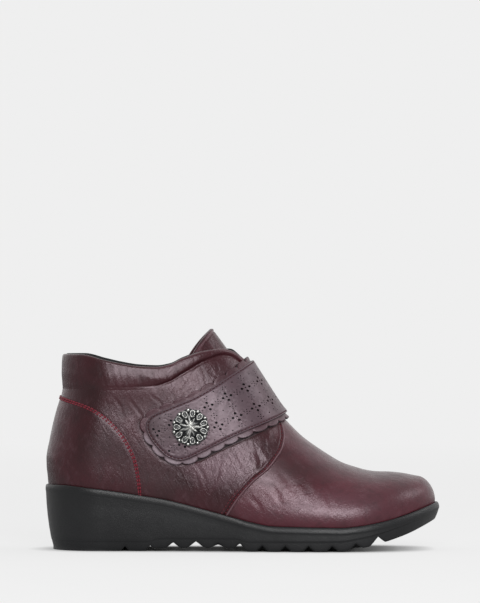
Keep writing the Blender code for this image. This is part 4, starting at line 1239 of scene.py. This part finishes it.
def make_strap(wrap):
    edge, _ = strap_outline(STRAP_POINTS)
    flat, triangles, pressed_and_shaded = flat_strap(edge)
    rim = edge_distance(flat, edge)
    height = STRAP_LAYER - STRAP_ROUND * (1 - rounded(rim, STRAP_ROUND)) - 0.00055 * hump(rim - STRAP_SEAM, 0.00040)
    height += 0.00012 * hump(rim - 0.0022, 0.0007) - 0.00006 * pressed_and_shaded
    base = QUARTER_WALL + 2.5 * CLEARANCE + EDGING_LAYER
    upper = wrap(flat[:, 0], flat[:, 1], base + height)
    lower = wrap(flat[:, 0], flat[:, 1], np.full(len(flat), base))
    count = len(flat)
    sides = np.concatenate([triangles[:, [0, 1]], triangles[:, [1, 2]], triangles[:, [2, 0]]])
    known = {tuple(s) for s in sides.tolist()}
    rims = np.array([[b, a] for a, b in known if (b, a) not in known])
    corners = np.concatenate([upper[rims[:, 0]], upper[rims[:, 1]], lower[rims[:, 1]], lower[rims[:, 0]]])
    walls = (2 * count + np.arange(4)[::-1] * len(rims) + np.arange(len(rims))[:, None]).tolist()
    faces = triangles.tolist() + (triangles + count)[:, ::-1].tolist() + walls
    spots = np.concatenate([upper, lower, corners])
    made = make_piece("punched_strap", spots, faces, strap_leather, "strap", "strap_leather")
    # Painted shade: the dashes and every cut wall get the dark cut colour
    paint(made, "pressed_and_shaded", np.concatenate([pressed_and_shaded, pressed_and_shaded, np.ones(4 * len(rims))]))
    # Painted highlight and shade zones of the strap
    paint(made, "tone", swells(spots[:, 0], spots[:, 2], STRAP_PAINTED_LIGHT))
    made.data.polygons.foreach_set("use_smooth", [True] * len(triangles) * 2 + [False] * len(walls))
    line = edge - outward(edge) * STRAP_SEAM
    top = base + STRAP_LAYER - 0.0003
    path = wrap(line[:, 0], line[:, 1], np.full(len(line), top))
    out = wrap(line[:, 0], line[:, 1], np.full(len(line), top + 1)) - path
    row = stitch_row(path, out, STRAP_STITCH, STRAP_STITCH_GAP, STRAP_THREAD)
    make_piece("strap_stitches", *row, wine, "strap", "strap_leather")


# Rings of blades in the button's middle: number, tilt, reach, half width, height
BLADES = ((11, 0.5, 0.56, 0.30, 0.66), (9, 0.35, 0.40, 0.40, 0.84), (6, 0.9, 0.24, 0.60, 0.95))
BEAD_RING, BEAD_RADIUS, SEED_RADIUS = 0.92, 0.078, 0.07  # shares of the button's radius
RECESS = 0.20


def button_relief(r, turn):
    """Height of the flower's face, from 0 in the deepest recess to 1."""
    sector = 2 * np.pi / BUTTON_PETALS
    phase = (turn / sector + 0.5) % 1 - 0.5
    angle = phase * sector
    bead = np.hypot(r * np.cos(angle) - BEAD_RING, r * np.sin(angle)) / BEAD_RADIUS
    height = np.where(bead < 1, 0.52 + 0.34 * np.sqrt(np.clip(1 - bead**2, 0, 1)), RECESS)
    between = ((turn / sector) % 1 - 0.5) * sector
    u, v = (r * np.cos(between) - 0.74) / 0.19, r * np.sin(between) / (0.130 * (0.55 + 0.6 * r))
    ring = np.hypot(u, v)
    height = np.maximum(height, 0.24 + 0.40 * hump(ring - 1.0, 0.26) + 0.10 * (ring < 1))
    u, v = (r * np.cos(between) - 0.70) / 0.12, r * np.sin(between) / 0.040
    height = np.maximum(height, 0.26 + 0.26 * np.clip(1 - u**2 - v**2, 0, 1) ** 0.5)
    height = np.maximum(height, 0.22 + hump(r - 0.985, 0.018) * 0.22)
    for count, tilt, long, wide, top in BLADES:
        way = (turn / (2 * np.pi) * count + tilt) % count
        number = np.floor(way)
        part = (way - number - 0.5) * 2 * np.pi / count
        reach = long * (1 + 0.24 * np.sin(2.3 * number + 3 * tilt))
        share = np.clip(r / reach, 0, 1)
        width = wide * reach * np.clip(share, 0.02, 1) ** 0.6 * (1 - share) ** 0.6
        blade = np.clip(1 - np.abs(r * np.sin(part)) / np.maximum(width, 1e-4), 0, 1)
        tall = top * (0.86 + 0.20 * np.sin(4.1 * number + tilt))
        height = np.maximum(height, np.where(r < reach, 0.24 + (tall - 0.24) * blade**0.45, 0))
    seed = 0.80 + 0.20 * np.sqrt(np.clip(1 - (r / SEED_RADIUS) ** 2, 0, 1))
    return np.where(r < SEED_RADIUS, np.maximum(height, seed), height)


def make_button(wrap):
    top = QUARTER_WALL + 2.5 * CLEARANCE + EDGING_LAYER + STRAP_LAYER
    centre = wrap(-BUTTON_REACH, 0.0, top)
    normal = wrap(-BUTTON_REACH, 0.0, top + 1) - centre
    along = unit(np.cross([0, 0, 1.0], normal))
    across = np.cross(normal, along)
    turns = np.linspace(0, 2 * np.pi, 48, endpoint=False)
    under = wrap(-BUTTON_REACH + BUTTON_RADIUS * np.cos(turns), BUTTON_RADIUS * np.sin(turns), top)
    lift = max(float(((under - centre) @ normal).max()), 0) + CLEARANCE
    turns = np.linspace(0, 2 * np.pi, 28 * BUTTON_PETALS, endpoint=False)
    radii = np.linspace(0.012, 1.0, 76)
    t, r = np.meshgrid(turns, radii)
    relief = button_relief(r, t)
    edge = 0.955 + 0.045 * np.clip(0.5 + 0.9 * np.cos(BUTTON_PETALS * turns), 0, 1)
    spread = r * np.where(r > 0.8, 1 + (edge - 1) * (r - 0.8) / 0.2, 1)
    rise = BUTTON_HEIGHT * (0.22 + 0.66 * relief + 0.12 * (1 - r**2))
    flat = (spread * np.cos(t))[..., None] * along + (spread * np.sin(t))[..., None] * across
    face = centre + BUTTON_RADIUS * flat + (lift + rise)[..., None] * normal
    rim = centre + BUTTON_RADIUS * flat[-1:] + lift * normal
    middle = (centre + (lift + 0.98 * BUTTON_HEIGHT) * normal)[None]
    points = np.concatenate([face.reshape(-1, 3), rim.reshape(-1, 3), middle])
    count = len(turns)
    faces = grid_faces(len(radii) + 1, count, closed=True)
    faces += [[len(points) - 1, (k + 1) % count, k][::-1] for k in range(count)]
    faces.append([len(radii) * count + k for k in range(count)])
    made = make_piece("silver_flower", points, faces, silver, "flower_button", "antique_metal")
    values = np.concatenate([relief.ravel(), np.full(count, 0.3), [1.0]])
    paint(made, "relief", values)


# ---------------------------------------------------------------- sole


# Profile of the sole's side, from the rim down: share of the margin and drop in metres (and more drop in front)
LIP = (
    (0.10, 0.0000, 0.0000), (0.35, 0.0000, 0.0001), (0.58, 0.0001, 0.0003), (0.74, 0.0005, 0.0005),
    (0.86, 0.0010, 0.0008), (0.95, 0.0016, 0.0012), (1.00, 0.0025, 0.0012),
)
UNDER_LIP = ((0.99, 0.0040), (0.965, 0.0044), (0.95, 0.0048))
WALL_MARGIN, WALL_START = 0.95, 0.0047
# The step above the tread and the tread's own side: margin lost, then drop in metres or share of the height
STEP_HEIGHT = 0.41  # share of the forefoot's thickness
STEP_EDGE = ((0.01, -0.0002), (0.02, 0.0001), (0.04, 0.0004), (0.05, 0.0007))
TREAD_DROP = 0.0008
TREAD_SIDE = ((0.05, 0.08), (0.06, 0.3), (0.07, 0.55), (0.09, 0.74), (0.12, 0.87), (0.17, 0.95), (0.26, 1.0))
UNDERSIDE = (0, 0.02, 0.05, 0.09, 0.14, 0.3, 0.5, 0.7, 0.86, 0.91, 0.95, 0.98, 1.0)  # shares across the tread


def notch_middle(k):
    return position(NOTCH_MIDDLE) + (k - (NOTCH_COUNT - 1) / 2) * NOTCH_PITCH


def notch_height(x):
    """Height of the cross grooves above the tread at the sole's edge, and how far they stay open inside."""
    height, inner = np.zeros(np.shape(x)), np.zeros(np.shape(x))
    for k, (tall, wide, through, shift) in enumerate(NOTCHES):
        centre = notch_middle(k) + shift / 1000
        away = np.abs(x - centre) / (wide * NOTCH_WIDTH / 2)
        rise = NOTCH_DEPTH * tall * np.clip(1 - away, 0, 1) ** 1.15
        rise = np.maximum(rise, 0.0009 * np.clip(1.35 - away, 0, 1) ** 2)
        inner = np.where(rise > height, rise * through, inner)
        height = np.maximum(height, rise)
    return height, inner


def sole_outline(count):
    start, end = heel_line(WEDGE_HEIGHT), position(1)
    x = start + (end - start) * eased(4001)
    line = np.stack([x, last_side(x, rim_height(x), -1)], axis=-1)
    x = spaced(line, np.linspace(0, 1, count + 1))[:, 0]
    for k in range(NOTCH_COUNT):
        for part in (-0.5, 0.0, 0.5):
            centre = notch_middle(k) + part * NOTCH_WIDTH
            x[np.abs(x - centre).argmin()] = centre
    z = rim_height(x)
    outer = np.stack([x, last_side(x, z, -1)], axis=-1)
    inner = np.stack([x, last_side(x, z, 1)], axis=-1)
    loop = np.concatenate([outer, inner[-2:0:-1]])
    along = np.roll(loop, -1, axis=0) - np.roll(loop, 1, axis=0)
    return loop, unit(np.stack([along[:, 1], -along[:, 0]], axis=-1))


def make_sole():
    loop, normals = sole_outline(340)
    x = loop[:, 0]
    joint = follow(((0.480, 0), (0.510, 1)), 1, station(x))
    seat = CLEARANCE + QUARTER_WALL + (VAMP_WALL - QUARTER_WALL) * joint
    rim, low = rim_height(x), floor_height(x)
    notch, inner_notch = notch_height(x)
    groove = low + notch
    step_in = 1 - 0.9 * soft_step((station(x) - 0.84) / 0.10)
    rings = [(seat - 0.0002, rim - LEDGE_DEPTH), (seat, rim - 0.0006)]
    front, toe = soft_step((station(x) - 0.42) / 0.25), soft_step((station(x) - 0.90) / 0.10)

    def side(margin, z):
        draft = SOLE_DRAFT * (rim - z) ** 2 / WEDGE_HEIGHT + 0.0032 * toe * soft_step((rim - z - 0.003) / 0.013)
        rings.append((np.maximum(margin - draft, 0), z))

    for share, drop, more in LIP:
        side(seat + (SOLE_MARGIN - seat) * share, rim - (drop + more * front))
    for margin, drop in UNDER_LIP:
        side(SOLE_MARGIN * margin, rim - drop)
    step = low + STEP_HEIGHT * FOREFOOT_THICKNESS
    start = rim - WALL_START
    for share in (0.25, 0.5, 0.75, 0.93):
        side(SOLE_MARGIN * WALL_MARGIN, start + (step - start) * share)
    for lost, drop in STEP_EDGE:
        side(SOLE_MARGIN * (WALL_MARGIN - lost * step_in), step - drop)
    tread = step - TREAD_DROP
    for lost, share in TREAD_SIDE:
        side(SOLE_MARGIN * (WALL_MARGIN - lost * step_in), tread + (groove - tread) * share)
    points = [np.column_stack([loop + normals * margin[:, None], z]) for margin, z in rings]
    count, half = len(x), len(x) // 2
    faces = grid_faces(len(points), count, flip=True, closed=True)
    for j in range(half):
        faces.append(list(dict.fromkeys([j, j + 1, (count - j - 1) % count, (count - j) % count])))
    pairs = np.arange(half + 1)
    outer, inner = points[-1][pairs], points[-1][(count - pairs) % count]
    share = np.array(UNDERSIDE)[None, :, None]
    under = outer[:, None] * (1 - share) + inner[:, None] * share
    deep = soft_step(np.minimum(share, 1 - share)[..., 0] / 0.14)
    under[..., 2] -= (notch[pairs] - inner_notch[pairs])[:, None] * deep
    first = sum(len(p) for p in points)
    faces += grid_faces(*under.shape[:2], flip=True, first=first)
    points.append(under.reshape(-1, 3))
    make_piece("moulded_sole", np.concatenate(points), faces, charcoal, "sole_unit", "sole_rubber")


# ---------------------------------------------------------------- stage and camera

CAMERA_PLACE = (-0.00165, -3.0, 0.1631)
FOCAL_PIXELS, PHOTO_HEIGHT, SENSOR = 4545.45, 603, 36
BACKDROP = 0.863  # brightness that the camera sees in the floor and the background


def light_panel(name, place, size, power):
    """Soft rectangular light that faces the boot."""
    data = bpy.data.lights.new(name, "AREA")
    data.shape = "RECTANGLE"
    data.size, data.size_y = size
    data.energy = power
    made = add_object(name, data)
    place, target = np.array(place), np.array([0.0, 0.0, 0.06])
    back = unit(place - target)
    right = unit(np.cross([0, 0, 1], back))
    up = np.cross(back, right)
    made.matrix_world = Matrix([[right[i], up[i], back[i], place[i]] for i in range(3)] + [[0, 0, 0, 1]])


def make_floor():
    """Pale glowing floor with a contact shadow painted into its glow, fading into the background."""
    pale = Shader("pale_floor")
    away = pale.add("ShaderNodeVectorMath", {0: pale.place}, operation="LENGTH").outputs["Value"]
    near = pale.span(away, 0.45, 2.2, 1.0, 0.0)
    speck = pale.noise(6, 2.0, 0.5)
    tone = pale.ramp(speck, [(0.0, (0.195, 0.195, 0.195)), (1.0, (0.205, 0.205, 0.205))])
    tone = pale.mix(near, colour(0, 0, 0), tone)
    # Painted contact shadow: an occlusion node darkens the floor's glow near the boot
    cover = pale.add("ShaderNodeAmbientOcclusion", samples=12)
    cover.inputs["Distance"].default_value = 0.018
    shine = pale.span(near, 0.0, 1.0, 1.0, 0.805)
    shine = pale.math("MULTIPLY", shine, pale.math("POWER", cover.outputs["AO"], 0.85))
    seen = pale.add("ShaderNodeLightPath").outputs["Is Camera Ray"]
    shine = pale.math("MULTIPLY", shine, pale.span(seen, 0.0, 1.0, 0.30, 1.0))
    pale.finish(Base_Color=tone, Roughness=1.0, Specular_IOR_Level=0.0, Emission_Strength=shine,
                Emission_Color=colour(BACKDROP, BACKDROP, BACKDROP))
    mesh = bpy.data.meshes.new("studio_floor")
    mesh.from_pydata([(-900, -520, 0), (900, -520, 0), (0, 1040, 0)], [], [(0, 1, 2)])
    mesh.materials.append(pale.material)
    floor = add_object("studio_floor", mesh)


def make_world():
    """Pale background with light that grows from behind the camera to behind the boot."""
    world = bpy.data.worlds.new("studio")
    world.use_nodes = True
    tree = world.node_tree
    place = tree.nodes.new("ShaderNodeTexCoord")
    split = tree.nodes.new("ShaderNodeSeparateXYZ")
    depth = tree.nodes.new("ShaderNodeMapRange")
    seen = tree.nodes.new("ShaderNodeLightPath")
    choose = tree.nodes.new("ShaderNodeMix")
    tree.links.new(place.outputs["Generated"], split.inputs[0])
    tree.links.new(split.outputs["Y"], depth.inputs["Value"])
    for socket, value in (("From Min", -0.8), ("From Max", 0.7), ("To Min", 0.10), ("To Max", 0.92)):
        depth.inputs[socket].default_value = value
    tree.links.new(depth.outputs["Result"], choose.inputs["A"])
    tree.links.new(seen.outputs["Is Camera Ray"], choose.inputs["Factor"])
    choose.inputs["B"].default_value = BACKDROP
    tree.links.new(choose.outputs["Result"], tree.nodes["Background"].inputs["Strength"])
    tree.nodes["Background"].inputs["Color"].default_value = colour(1, 1, 1)
    bpy.context.scene.world = world


def make_camera():
    data = bpy.data.cameras.new("camera")
    data.lens = FOCAL_PIXELS * SENSOR / PHOTO_HEIGHT
    data.sensor_width = SENSOR
    data.clip_end = 600
    camera = add_object("camera", data)
    camera.location = CAMERA_PLACE
    camera.rotation_euler = (math.pi / 2, 0, 0)
    bpy.context.scene.camera = camera


def make_stage():
    make_floor()
    make_world()
    light_panel("front_softbox", (0.28, -3.24, 1.36), (1.85, 1.8), 78)
    light_panel("side_softbox", (2.3, 0.1, 1.6), (1.2, 1.2), 10)
    bpy.context.scene.view_settings.view_transform = "Standard"
    bpy.context.scene.view_settings.look = "None"
    make_camera()


WELDED = ("quarters", "vamp", "vamp_lining", "tongue_pad", "scalloped_edging", "moulded_sole")
dressed = []
make_stage()
make_quarters()
make_vamp()
over_instep = Wrap(-1.3 * TONGUE_TOP, 1.3 * TONGUE_BASE, -1.2 * STRAP_OUTER_REACH, 1.2 * STRAP_INNER_REACH, 0.001)
make_tongue(over_instep)
make_edging(over_instep)
make_strap(over_instep)
make_button(over_instep)
make_sole()
for piece in dressed:
    if piece.name in WELDED:
        clean(piece)
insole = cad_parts["insole"]
insole.data.materials.clear()
insole.data.materials.append(footbed_cloth)
